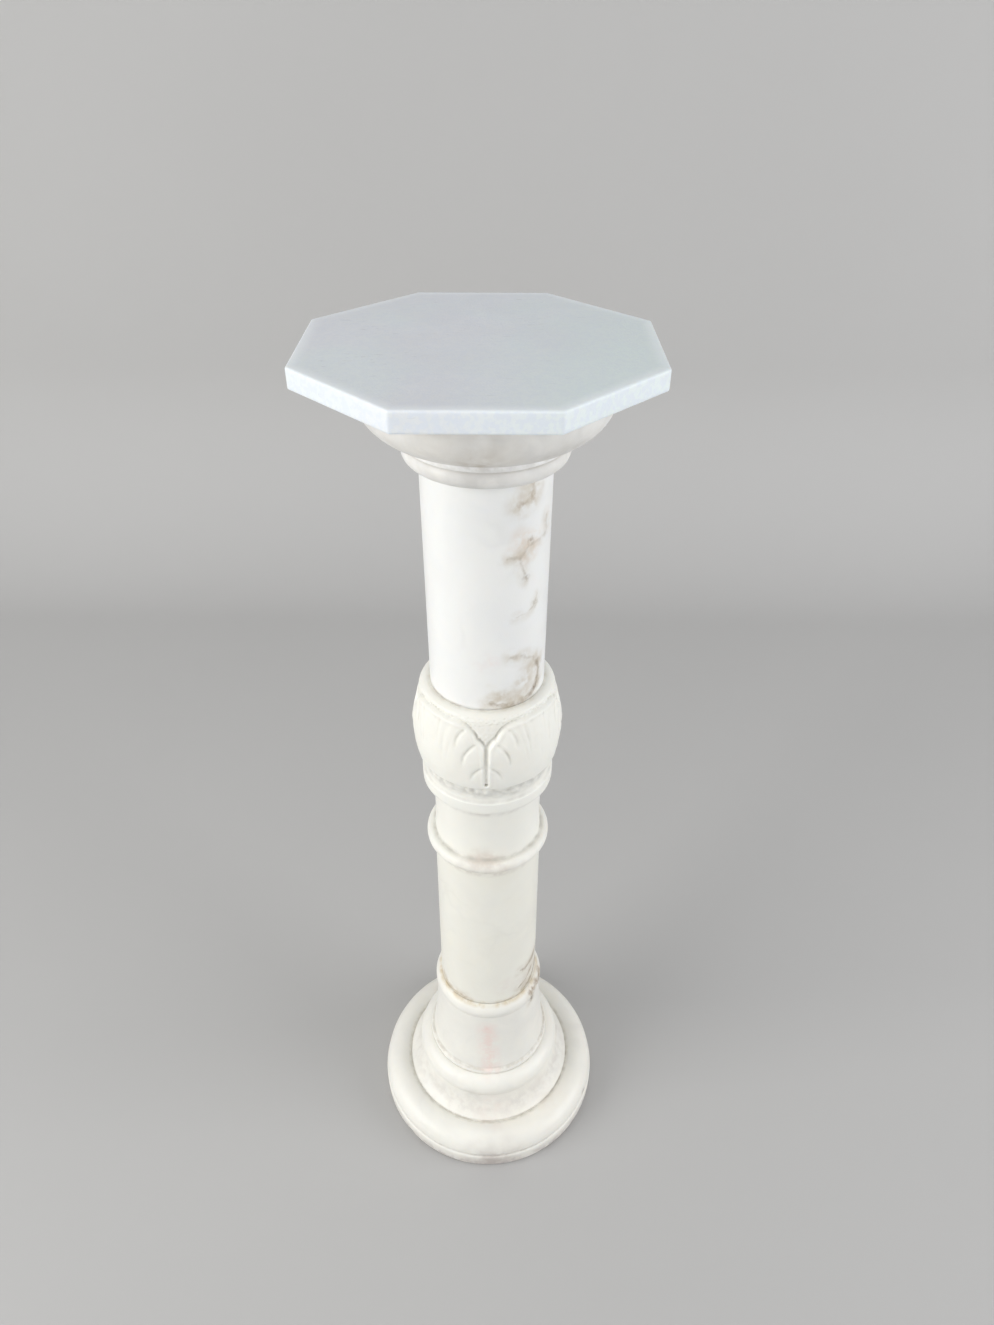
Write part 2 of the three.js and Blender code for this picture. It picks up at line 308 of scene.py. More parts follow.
@dataclass(frozen=True)
class Stain:
    """A coloured vein or stain that follows a line over the stone, in millimetres."""

    path: tuple[Point, ...]
    width: float
    haze: float
    colour: Colour = (0.3, 0.22, 0.15)
    strength: float = 0.6
    haze_strength: float = 0.25
    haze_colour: Colour = (0.6, 0.53, 0.43)
    wander: Pair = (2.4, 10.0)
    breadths: Patches = Patches(8.0, 4.0, 0.2, 0.85)
    breadth_least: float = 0.5
    breadth_gain: float = 1.8
    blots: Patches = Patches(3.4, 5.0, 0.25, 0.7)
    blot_share: float = 0.7
    haze_drift: Patches = Patches(12.0, 4.0, 0.28, 0.72)

    def paint(self, shader: Shader, colour: Term) -> Term:
        """Lays the stain over a colour.

        Args:
            shader: the stone's shader.
            colour: the colour so far.

        Returns:
            The stained colour.
        """
        away = shader.distance(shader.warped(*self.wander), self.path)
        breadth = self.breadths.over(shader) * self.breadth_gain + self.breadth_least
        blots = self.blots.over(shader) * self.blot_share + (1.0 - self.blot_share)
        core = (away / breadth).rise(self.width, 0.0) * blots
        haze = away.rise(self.haze, 0.0) * self.haze_drift.over(shader)
        stained = shader.blend(haze * self.haze_strength, colour, self.haze_colour)
        return shader.blend(core * self.strength, stained, self.colour)


class Mark:
    """A place painted in another tone: a real stain or vein at some places, painted shade and painted light
    at others.
    """

    colour: Colour
    strength: float

    def cover(self, shader: Shader) -> Term:
        """Gives how far the mark covers each place, from 0 to 1."""
        raise NotImplementedError

    def paint(self, shader: Shader, colour: Term) -> Term:
        """Lays the mark over a colour."""
        return shader.blend(self.cover(shader) * self.strength, colour, self.colour)


@dataclass(frozen=True)
class RingDirtAndPaintedLight(Mark):
    """A ring of another tone round the axis, in millimetres: real dirt where a shaft stands in the lip,
    painted shade in creases and under overhangs, and painted light on one fillet.
    """

    radius: float
    height: float
    reach: float
    colour: Colour = (0.42, 0.34, 0.2)
    strength: float = 0.5
    full_share: float = 0.1
    patches: Patches = Patches(9.0, 4.0, 0.35, 0.68)
    patch_share: float = 0.75

    def cover(self, shader: Shader) -> Term:
        """Covers a ring of round section, thinly where its patches are thin.

        Args:
            shader: the shader that the nodes go into.

        Returns:
            A mask from 0 to 1.
        """
        flat = shader.vector("LENGTH", shader.vector("MULTIPLY", shader.place, (1.0, 1.0, 0.0)))
        outwards = flat - self.radius
        upwards = shader.along(AXIS) - self.height
        away = (outwards * outwards + upwards * upwards) ** 0.5
        patchy = self.patches.over(shader) * self.patch_share + (1.0 - self.patch_share)
        return away.rise(self.reach, self.reach * self.full_share) * patchy


@dataclass(frozen=True)
class StainAndShadePatch(Mark):
    """A soft patch of another tone, in millimetres: a real stain at some places and painted shade at
    others; its noises' lengths are shares of its reach.
    """

    middle: Point
    reach: float
    colour: Colour
    strength: float = 0.4
    wander: Pair = (0.5, 0.8)
    patches: Patches = Patches(0.35, 5.0, 0.25, 0.7)

    def cover(self, shader: Shader) -> Term:
        """Covers a ball with a ragged edge.

        Args:
            shader: the shader that the nodes go into.

        Returns:
            A mask from 0 to 1.
        """
        wander = [self.reach * share for share in self.wander]
        away = shader.vector("DISTANCE", shader.warped(*wander), self.middle)
        patches = replace(self.patches, length=self.reach * self.patches.length)
        return away.rise(self.reach, 0.0) * patches.over(shader)


def soft_clouds(length: float) -> Patches:
    """Gives the broad clouds of a stone, for a length in millimetres."""
    return Patches(length, 5.0, 0.36, 0.68, 0.7)


@dataclass(frozen=True)
class StoneFinish:
    """Marble with clouds, faint veins, crystals, dirt and painted shade in its hollows and a painted
    highlight on its edges, in millimetres.
    """

    slot: Slot
    base: Colour
    cloud: Colour
    warm: Colour
    vein: Colour = (0.55, 0.54, 0.52)
    clouds: Patches = soft_clouds(62.0)
    cloud_share: float = 0.6
    warmth: Patches = Patches(140.0, 3.0, 0.4, 0.72, wander=(18.0, 60.0))
    warm_share: float = 0.4
    mottle: Patches = Patches(9.0, 6.0, 0.35, 0.75)
    mottle_share: float = 0.16
    vein_wander: Pair = (14.0, 45.0)
    vein_length: float = 95.0
    vein_width: float = 0.045
    vein_places: Patches = Patches(70.0, 2.0, 0.42, 0.75)
    vein_share: float = 0.12
    roughness: float = 0.34
    dull_patches: Patches = Patches(21.0, 4.0, 0.3, 0.7)
    dull_shares: Pair = (0.1, 0.2)
    grain: float = 0.12
    crystal_length: float = 1.1
    unevenness: tuple[Point, ...] = ((26.0, 2.0, 0.3), (2.2, 5.0, 0.16))
    bump_strength: float = 0.45
    bump_metres: float = 0.0006
    wear_noise: Pair = (13.0, 5.0)
    # Dirt and painted shade in the hollows: colour, patchiness and share.
    hollow_dirt_and_shade: Colour = (0.36, 0.31, 0.24)
    hollow_dirt_and_shade_rise: Pair = (0.25, 0.7)
    hollow_dirt_and_shade_share: float = 0.5
    # Painted highlight along the convex edges: colour, patchiness and strength.
    edge_highlight: Colour = (0.93, 0.93, 0.91)
    edge_highlight_rise: Pair = (0.7, 0.3)
    edge_light: float = 0.35
    glow: float = 0.25
    glow_radius: Colour = (1.0, 0.88, 0.72)
    glow_metres: float = 0.004
    refraction: float = 1.5
    # Real stains and veins, with painted shade and painted light among them.
    stains_and_painted_light: tuple[Union[Stain, Mark], ...] = ()

    def colour(self, shader: Shader) -> Term:
        """Builds the stone's colour.

        Args:
            shader: the shader that the nodes go into.

        Returns:
            The colour.
        """
        colour = shader.blend(self.clouds.over(shader) * self.cloud_share, self.base, self.cloud)
        colour = shader.blend(self.warmth.over(shader) * self.warm_share, colour, self.warm)
        colour = shader.blend(self.veins(shader) * self.vein_share, colour, self.vein)
        colour = shader.blend(self.mottle.over(shader) * self.mottle_share, colour, self.cloud)
        # Lays the real stains and veins and the painted shade and light in their listed order.
        for stain in self.stains_and_painted_light:
            colour = stain.paint(shader, colour)
        return self.with_dirt_shade_and_highlight(shader, colour)

    def veins(self, shader: Shader) -> Term:
        """Gives thin faint veins that come and go.

        Args:
            shader: the shader that the nodes go into.

        Returns:
            A mask from 0 to 1.
        """
        flow = shader.noise(shader.warped(*self.vein_wander), self.vein_length)
        line = abs(flow - NOISE_MIDDLE).rise(self.vein_width, 0.0)
        return line * line * self.vein_places.over(shader)

    def with_dirt_shade_and_highlight(self, shader: Shader, colour: Term) -> Term:
        """Adds dirt and painted shade in the hollows and a painted highlight along the convex edges.

        Args:
            shader: the shader that the nodes go into.
            colour: the clean colour.

        Returns:
            The weathered colour.
        """
        patchy = shader.noise(shader.place, *self.wear_noise)
        # Dirt and painted shade, strongest in the hollows.
        dirt = shader.attribute("hollow") * patchy.rise(*self.hollow_dirt_and_shade_rise)
        dirt_and_shaded = shader.blend(dirt * self.hollow_dirt_and_shade_share, colour, self.hollow_dirt_and_shade)
        # Painted highlight along the convex edges, patchy.
        edge_highlight = shader.attribute("edge") * patchy.rise(*self.edge_highlight_rise)
        return shader.blend(edge_highlight * self.edge_light, dirt_and_shaded, self.edge_highlight)

    def relief(self, shader: Shader) -> Term:
        """Builds the fine unevenness of the surface, as a height.

        Args:
            shader: the shader that the nodes go into.

        Returns:
            The height.
        """
        height = shader.crystals(self.crystal_length) * self.grain
        for length, detail, share in self.unevenness:
            height = height + shader.noise(shader.place, length, detail) * share
        return height

    def gloss(self, shader: Shader) -> Term:
        """Builds the roughness, duller over worn patches and in hollows."""
        worn, hollow = self.dull_shares
        return self.roughness + self.dull_patches.over(shader) * worn + shader.attribute("hollow") * hollow

    def material(self) -> bpy.types.Material:
        """Builds the material.

        Returns:
            The finished material.
        """
        shader = Shader(self.slot.value)
        bump = shader.node("ShaderNodeBump", {}, {
            "Height": self.relief(shader), "Strength": self.bump_strength, "Distance": self.bump_metres,
        })
        stone = shader.node("ShaderNodeBsdfPrincipled", {"subsurface_method": "RANDOM_WALK"}, {
            "Base Color": self.colour(shader),
            "Roughness": self.gloss(shader),
            "Normal": bump,
            "Subsurface Weight": self.glow,
            "Subsurface Radius": self.glow_radius,
            "Subsurface Scale": self.glow_metres,
            "IOR": self.refraction,
        })
        shader.node("ShaderNodeOutputMaterial", {}, {"Surface": stone})
        return shader.material


@dataclass(frozen=True)
class SlabFinish(StoneFinish):
    """Bluish crystalline marble with a paler rim, fine scratches and lilac and green drifts."""

    sides: int = 8
    across_flats: float = 272.0
    middle: Point = (-4.5, 0.0, 0.0)
    top: float = 1000.0
    top_band: Pair = (1.2, 0.2)
    drift_wander: Pair = (30.0, 90.0)
    drift_length: float = 170.0
    lilac: Colour = (0.72, 0.71, 0.78)
    lilac_drift: Point = (0.52, 0.38, 0.55)
    green: Colour = (0.76, 0.87, 0.84)
    green_drift: Point = (0.52, 0.68, 0.4)
    green_heading: Point = (1.0, -0.25, 0.0)
    green_run: Point = (-20.0, 120.0, 0.8)
    scratch: Colour = (0.55, 0.57, 0.6)
    scratch_wander: Pair = (3.0, 12.0)
    scratch_stretch: Point = (0.22, 1.0, 1.0)
    scratch_noise: Pair = (2.6, 2.0)
    scratch_rise: Pair = (0.64, 0.74)
    scratch_places: Patches = Patches(34.0, 3.0, 0.45, 0.65)
    sugar: Colour = (0.66, 0.72, 0.84)
    sugar_grains: Patches = Patches(4.5, 5.0, 0.44, 0.56, wander=(1.5, 3.0))
    sugar_share: float = 0.6
    sugar_lost_on_top: float = 0.42
    # Greyer over the top face: colour and share.
    top_grey: Colour = (0.45, 0.46, 0.49)
    top_grey_share: float = 0.27
    rim: Colour = (0.86, 0.9, 0.92)
    rim_band: Pair = (12.0, 1.0)
    rim_share: float = 0.5

    def colour(self, shader: Shader) -> Term:
        """Builds the slab's colour.

        Args:
            shader: the shader that the nodes go into.

        Returns:
            The colour.
        """
        colour = super().colour(shader)
        drift = shader.noise(shader.warped(*self.drift_wander), self.drift_length)
        for (low, high, share), tint in ((self.lilac_drift, self.lilac), (self.green_drift, self.green)):
            colour = shader.blend(drift.rise(low, high) * share, colour, tint)
        colour = shader.blend(self.scratches(shader), colour, self.scratch)
        low, high, share = self.green_run
        colour = shader.blend(shader.along(self.green_heading).rise(low, high) * share, colour, self.green)
        top = shader.along(AXIS).rise(*(self.top - below for below in self.top_band))
        sugar = self.sugar_grains.over(shader) * (self.sugar_share - top * self.sugar_lost_on_top)
        colour = shader.blend(sugar, colour, self.sugar)
        # Greyer over the top face.
        colour = shader.blend(top * self.top_grey_share, colour, self.top_grey)
        rim = self.outwards(shader).rise(*(self.across_flats / 2 - inside for inside in self.rim_band))
        return shader.blend(rim * self.rim_share, colour, self.rim)

    def scratches(self, shader: Shader) -> Term:
        """Gives fine scratches that run across the slab and come and go.

        Args:
            shader: the shader that the nodes go into.

        Returns:
            A mask from 0 to 1.
        """
        streaks = shader.vector("MULTIPLY", shader.warped(*self.scratch_wander), self.scratch_stretch)
        lines = shader.noise(streaks, *self.scratch_noise).rise(*self.scratch_rise)
        return lines * self.scratch_places.over(shader)

    def outwards(self, shader: Shader) -> Term:
        """Gives how far each place lies out from the slab's middle, towards the nearest side.

        Args:
            shader: the shader that the nodes go into.

        Returns:
            The distance in millimetres.
        """
        away = shader.vector("SUBTRACT", shader.place, self.middle)
        out = None
        for side in range(self.sides // 2):
            turn = FULL_TURN * side / self.sides
            reach = abs(shader.vector("DOT_PRODUCT", away, (math.cos(turn), math.sin(turn), 0.0)))
            out = reach if out is None else out.most(reach)
        return out


class Profile:
    """Half outline of a turned piece, drawn upwards from its foot in millimetres."""

    def __init__(self, radius: float, height: float) -> None:
        """Starts the outline at a radius and a height."""
        self.points: list[Pair] = [(radius, height)]

    @property
    def end(self) -> Pair:
        """Gives the outline's last point."""
        return self.points[-1]

    def line(self, radius: float, rise: float) -> "Profile":
        """Draws a straight run to a radius, rising by a height."""
        self.points.append((radius, self.end[1] + rise))
        return self

    def arc(self, radius: float, rise: float, swell: float, steps: int = 24) -> "Profile":
        """Draws a circular arc.

        Args:
            radius: radius at its end.
            rise: height it gains.
            swell: how far its middle stands off its chord, to the right of its run.
            steps: number of chords.

        Returns:
            The profile.
        """
        start = Vector(self.end)
        finish = Vector((radius, self.end[1] + rise))
        half = (finish - start).length / 2
        side = Vector((finish.y - start.y, start.x - finish.x)).normalized()
        bend = (half * half + swell * swell) / (2 * abs(swell))
        for step in range(1, steps + 1):
            along = 2 * step / steps - 1
            reach = math.sqrt(max(0.0, bend * bend - along * along * half * half))
            stand = math.copysign(reach - bend + abs(swell), swell)
            point = start.lerp(finish, (along + 1) / 2) + side * stand
            self.points.append((point.x, point.y))
        return self

    def eased(self, reach: float, limit: float = 0.35) -> "Profile":
        """Rounds the corners that stand out and leaves the creases.

        Args:
            reach: how far the rounding runs along each side of a corner.
            limit: least turn of a corner that is rounded, in radians.

        Returns:
            The profile.
        """
        rounded = [self.points[0]]
        for before, corner, after in zip(self.points, self.points[1:], self.points[2:]):
            arrive = Vector(corner) - Vector(before)
            leave = Vector(after) - Vector(corner)
            if min(arrive.length, leave.length) < SMALL:
                continue
            if arrive.angle_signed(leave) > -limit:
                rounded.append(corner)
                continue
            first = Vector(corner) - arrive.normalized() * min(reach, arrive.length / 2)
            last = Vector(corner) + leave.normalized() * min(reach, leave.length / 2)
            for share in (0.0, 0.25, 0.5, 0.75, 1.0):
                arriving = first.lerp(Vector(corner), share)
                rounded.append(tuple(arriving.lerp(Vector(corner).lerp(last, share), share)))
        rounded.append(self.points[-1])
        self.points = rounded
        return self

    def divided(self, step: float) -> list[Pair]:
        """Gives the points with long runs cut up.

        Args:
            step: greatest distance between points.

        Returns:
            Radii and heights.
        """
        cut = [self.points[0]]
        for start, end in zip(self.points, self.points[1:]):
            out, up = end[0] - start[0], end[1] - start[1]
            count = max(1, math.ceil(math.hypot(out, up) / step))
            for share in (part / count for part in range(1, count + 1)):
                cut.append((start[0] + out * share, start[1] + up * share))
        return cut


@dataclass(frozen=True)
class Chip:
    """A small break in the stone: its place, reach and depth in millimetres, and how ragged it is."""

    place: Point
    reach: float
    depth: float
    start: float = 1.15
    slope: float = 0.75
    ragged: float = 0.18


def smooth_step(values: np.ndarray, low: float, high: float) -> np.ndarray:
    """Rises smoothly from 0 at low to 1 at high."""
    share = np.clip((values - low) / (high - low), 0.0, 1.0)
    return share * share * (3.0 - 2.0 * share)


def waves(places: np.ndarray, length: float, seed: int, count: int = 14) -> np.ndarray:
    """Gives smooth random unevenness as a sum of waves.

    Args:
        places: points in millimetres, one a row.
        length: typical wavelength in millimetres.
        seed: start of the random draws.
        count: number of waves.

    Returns:
        Values mostly between -1 and 1.
    """
    draws = np.random.default_rng(seed)
    total = np.zeros(len(places))
    for _ in range(count):
        heading = draws.normal(size=3)
        heading *= FULL_TURN / (np.linalg.norm(heading) * length * draws.uniform(*WAVE_SPREAD))
        total += np.sin(places @ heading + draws.uniform(0.0, FULL_TURN))
    return total / math.sqrt(count)


class Surface:
    """A piece's mesh with its points as an array, in millimetres."""

    def __init__(self, mesh: bpy.types.Mesh) -> None:
        """Reads a mesh's points and normals."""
        self.mesh = mesh
        self.places = self.read(mesh.vertices, "co", 3) / MM
        self.normals = self.read(mesh.vertices, "normal", 3)

    @staticmethod
    def read(items: Any, name: str, width: int) -> np.ndarray:
        """Reads one value of every item of a mesh.

        Args:
            items: the mesh's points or edges.
            name: the value's name.
            width: how many numbers it has.

        Returns:
            The values, one item a row.
        """
        values = np.empty(len(items) * width, dtype=np.float32)
        items.foreach_get(name, values)
        return values.reshape(-1, width).astype(float)

    def write(self) -> None:
        """Puts the moved points back into the mesh."""
        self.mesh.vertices.foreach_set("co", (self.places * MM).astype(np.float32).ravel())
        self.mesh.update()
        self.normals = self.read(self.mesh.vertices, "normal", 3)

    def knock(self, chips: Iterable[Chip], seed: int) -> None:
        """Breaks chips out of the surface.

        Args:
            chips: the breaks.
            seed: start of the random draws for their rough floors.
        """
        rough = waves(self.places, CHIP_GRAIN, seed)
        for chip in chips:
            away = np.linalg.norm(self.places - np.array(chip.place), axis=1) / chip.reach
            bite = smooth_step(chip.start - away + chip.ragged * rough, 0.0, chip.slope) * chip.depth
            self.places -= self.normals * bite[:, None]

    def mark_bends(
        self, reach: float, passes: int = 3, share: float = 0.6, least: float = 0.3,
    ) -> None:
        """Stores how hollow and how edge-like the surface is at each point.

        Args:
            reach: height of a bend, in millimetres, that counts in full.
            passes: number of times the values spread to their neighbours.
            share: part of a value that comes from the neighbours.
            least: length in millimetres that shorter edges count as.
        """
        ends = np.empty(len(self.mesh.edges) * 2, dtype=np.int32)
        self.mesh.edges.foreach_get("vertices", ends)
        first, second = ends.reshape(-1, 2).T
        count = len(self.places)
        links = np.bincount(first, minlength=count) + np.bincount(second, minlength=count)
        links = np.maximum(links, 1)
        run = self.places[second] - self.places[first]
        length = np.maximum(np.linalg.norm(run, axis=1), least)
        slope_first = np.einsum("ij,ij->i", run, self.normals[first]) / length
        slope_second = np.einsum("ij,ij->i", -run, self.normals[second]) / length
        bend = np.bincount(first, slope_first, count) + np.bincount(second, slope_second, count)
        bend /= links
        for _ in range(passes):
            spread = np.bincount(first, bend[second], count) + np.bincount(second, bend[first], count)
            bend = (1.0 - share) * bend + share * spread / links
        self.store("hollow", np.clip(bend / reach, 0.0, 1.0))
        self.store("edge", np.clip(-bend / reach, 0.0, 1.0))

    def store(self, name: str, values: np.ndarray) -> None:
        """Keeps a value for every point under a name that the materials read."""
        made = self.mesh.attributes.new(name, "FLOAT", "POINT")
        made.data.foreach_set("value", values.astype(np.float32))


@dataclass
class Piece:
    """One separate piece of the column and what it has in common with the others."""

    node: str
    finish: StoneFinish
    chips: tuple[Chip, ...] = ()
    bend_reach: float = 0.16
    seed: int = 1

    def shape(self) -> bmesh.types.BMesh:
        """Builds the piece's form."""
        raise NotImplementedError

    def carve(self, surface: Surface) -> None:
        """Carves what the form leaves out; most pieces are plain."""

    def build(self) -> bpy.types.Object:
        """Builds, dresses and registers the piece.

        Returns:
            The finished object.
        """
        form = self.shape()
        mesh = bpy.data.meshes.new(f"{self.node}_stone")
        form.to_mesh(mesh)
        form.free()
        mesh.shade_smooth()
        surface = Surface(mesh)
        self.carve(surface)
        surface.write()
        surface.knock(self.chips, self.seed)
        surface.write()
        surface.mark_bends(self.bend_reach)
        made = bpy.data.objects.new(f"{self.node}_stone", mesh)
        bpy.context.scene.collection.objects.link(made)
        mesh.materials.append(self.finish.material())
        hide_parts(self.node)
        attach(made, "root")
        triangles = sum(len(face.vertices) - 2 for face in mesh.polygons)
        LOG.info("%s: %d triangles", made.name, triangles)
        return made


@dataclass
class TurnedPiece(Piece):
    """A piece turned about the column's axis."""

    foot: float = 0.0
    sides: int = 320
    step: float = 1.6
    easing: float = 0.45
    doublings: int = 4
    weld_metres: float = 1e-6

    def outline(self) -> Profile:
        """Gives the piece's half outline, from its foot to its top."""
        raise NotImplementedError

    def rings(self) -> list[Pair]:
        """Gives the radii and heights of the rings of points."""
        return self.outline().eased(self.easing).divided(self.step)

    def shape(self) -> bmesh.types.BMesh:
        """Spins the outline through one sector and turns copies of it round the axis.

        Returns:
            The turned form, closed at both ends.
        """
        form = bmesh.new()
        rings = self.rings()
        outline = [(0.0, rings[0][1]), *rings, (0.0, rings[-1][1])]
        corners = [form.verts.new((radius * MM, 0.0, height * MM)) for radius, height in outline]
        edges = [form.edges.new(pair) for pair in zip(corners, corners[1:])]
        sector = FULL_TURN / 2**self.doublings
        bmesh.ops.spin(
            form, geom=corners + edges, cent=(0, 0, 0), axis=(0, 0, 1), angle=sector,
            steps=self.sides // 2**self.doublings,
        )
        for _ in range(self.doublings):
            copied = bmesh.ops.duplicate(form, geom=[*form.verts, *form.edges, *form.faces])
            moved = [item for item in copied["geom"] if isinstance(item, bmesh.types.BMVert)]
            bmesh.ops.rotate(form, verts=moved, cent=(0, 0, 0), matrix=Matrix.Rotation(sector, 3, "Z"))
            bmesh.ops.remove_doubles(form, verts=form.verts, dist=self.weld_metres)
            sector *= 2
        bmesh.ops.recalc_face_normals(form, faces=form.faces)
        return form


@dataclass
class Base(TurnedPiece):
    """Stepped round foot with a flared collar and a rolled lip, in millimetres.

    A moulding's values are its reach outwards, its rise and its swell.
    """

    seat_radius: float = 58.0
    lip: Triple = (5.2, 20.0, 4.1)
    collar: Triple = (8.3, 99.2, 1.5)
    bead: Triple = (2.3, 8.3, 2.6)
    ledge: float = 2.2
    ring: Triple = (12.5, 24.0, 6.0)
    ring_overhang: float = 1.3
    scotia: Triple = (17.0, 33.0, 5.4)
    fillet: Pair = (1.2, 2.5)
    torus: Triple = (32.8, 19.7, 11.0)
    groove: Pair = (3.0, 1.8)
    band: Pair = (1.6, 23.5)
    band_edge: Triple = (4.5, 8.0, 1.2)
    band_shoulder: Triple = (2.0, 3.5, 0.5)

    def outline(self) -> Profile:
        """Draws the foot band, torus, scotia, ring, bead, collar and lip.

        Returns:
            The outline.
        """
        collar_top = self.seat_radius + self.lip[0]
        collar_foot = collar_top + self.collar[0]
        bead_foot = collar_foot + self.bead[0]
        ring_top = bead_foot + self.ledge
        ring_foot = ring_top + self.ring[0]
        scotia_top = ring_foot - self.ring_overhang
        scotia_foot = scotia_top + self.scotia[0]
        torus_top = scotia_foot + self.fillet[0]
        torus_foot = torus_top + self.torus[0]
        band = torus_foot + self.band[0]
        side = self.band[1] - self.band_edge[1] - self.band_shoulder[1]
        return (
            Profile(band - self.band_edge[0], 0.0)
            .arc(band, self.band_edge[1], self.band_edge[2], 10)
            .line(band, side)
            .arc(band - self.band_shoulder[0], self.band_shoulder[1], self.band_shoulder[2], 8)
            .line(torus_foot - self.groove[0], self.groove[1])
            .line(torus_foot, 0.0)
            .arc(torus_top, self.torus[1], self.torus[2], 40)
            .line(scotia_foot, 0.0)
            .line(scotia_foot, self.fillet[1])
            .arc(scotia_top, self.scotia[1], -self.scotia[2])
            .line(ring_foot, 0.0)
            .arc(ring_top, self.ring[1], self.ring[2])
            .line(bead_foot, 0.0)
            .arc(collar_foot, self.bead[1], self.bead[2], 10)
            .arc(collar_top, self.collar[1], -self.collar[2])
            .arc(self.seat_radius, self.lip[1], self.lip[2])
        )


@dataclass
class Shaft(TurnedPiece):
    """Plain tapered shaft, in millimetres."""

    foot_radius: float = 57.7
    top_radius: float = 56.6
    height: float = 240.5

    def outline(self) -> Profile:
        """Draws the shaft's straight side."""
        return Profile(self.foot_radius, self.foot).line(self.top_radius, self.height)


@dataclass
class Capital(TurnedPiece):
    """Roll, fillet, deep ovolo and plain edge, in millimetres.

    A moulding's values are its reach outwards, its rise and its swell.
    """

    shaft_radius: float = 55.3
    overhang: float = 4.2
    roll: Triple = (6.6, 15.8, 5.6)
    fillet: Triple = (1.4, 8.2, 0.9)
    ovolo_step: float = 3.6
    ovolo: Triple = (31.5, 33.3, 7.8)
    edge: Triple = (2.5, 16.7, 0.8)

    def outline(self) -> Profile:
        """Draws the roll, the fillet, the ovolo and the edge that the slab lies on.

        Returns:
            The outline.
        """
        roll_top = self.shaft_radius + self.overhang + self.roll[0]
        fillet = roll_top + self.fillet[0]
        ovolo_foot = fillet + self.fillet[2] + self.ovolo_step
        ovolo_top = ovolo_foot + self.ovolo[0]
        return (
            Profile(self.shaft_radius + self.overhang, self.foot)
            .arc(roll_top, self.roll[1], self.roll[2])
            .line(fillet, 0.0)
            .line(fillet + self.fillet[2], self.fillet[1])
            .line(ovolo_foot, 0.0)
            .arc(ovolo_top, self.ovolo[1], self.ovolo[2])
            .arc(ovolo_top + self.edge[0], self.edge[1], self.edge[2], 10)
        )


@dataclass(frozen=True)
class Roughness:
    """Random unevenness: its height and wavelength in millimetres, its seed and its number of waves."""

    height: float
    length: float
    seed: int
    count: int

    def over(self, places: np.ndarray) -> np.ndarray:
        """Gives the unevenness at each place."""
        return self.height * waves(places, self.length, self.seed, self.count)


def hump(values: np.ndarray, height: float, middle: float, width: float) -> np.ndarray:
    """Gives a soft hump of a height and width round a middle value."""
    return height * np.exp(-(((values - middle) / width) ** 2))


@dataclass(frozen=True)
class Flutes:
    """Fine upright flutes that fan out over a leaf's middle; heights are shares of the leaf's."""

    depth: float = 0.55
    sharpness: float = 1.6
    per_radian: float = 50.0
    foot_spread: float = 0.35
    foot_fade: Pair = (0.25, 0.6)
    top_fade: Pair = (0.995, 0.9)
    side_fade: Pair = (0.62, 0.3)
    sways: tuple[tuple[float, float, float, float], ...] = ((1.3, 17.0, 0.0, 2.0), (0.8, 7.0, 9.0, 0.0))
    fading: tuple[float, float, float, float] = (0.45, 11.0, 5.0, 1.0)

    def cut(self, half: float, offset: np.ndarray, up: np.ndarray) -> np.ndarray:
        """Gives the flutes' depth.

        Args:
            half: half the turn of a leaf, in radians.
            offset: turn from the nearest gap, in radians.
            up: height over the leaf's foot, as a share of the leaf's height.

        Returns:
            Depth in millimetres.
        """
        spread = self.foot_spread + (1.0 - self.foot_spread) * np.clip(up, 0.0, 1.0)
        fan = (half - np.abs(offset)) / spread
        shown = smooth_step(up, *self.foot_fade) * smooth_step(up, *self.top_fade)
        across = smooth_step(fan, *(half * share for share in self.side_fade))
        drift = sum(
            height * np.sin(fan * by_fan + up * by_up + offset * by_offset)
            for height, by_fan, by_up, by_offset in self.sways
        )
        height, by_fan, by_up, phase = self.fading
        uneven = 1.0 - height + height * np.sin(fan * by_fan + up * by_up + phase)
        ridges = (0.5 + 0.5 * np.cos(fan * self.per_radian + drift)) ** self.sharpness
        return self.depth * shown * across * uneven * ridges


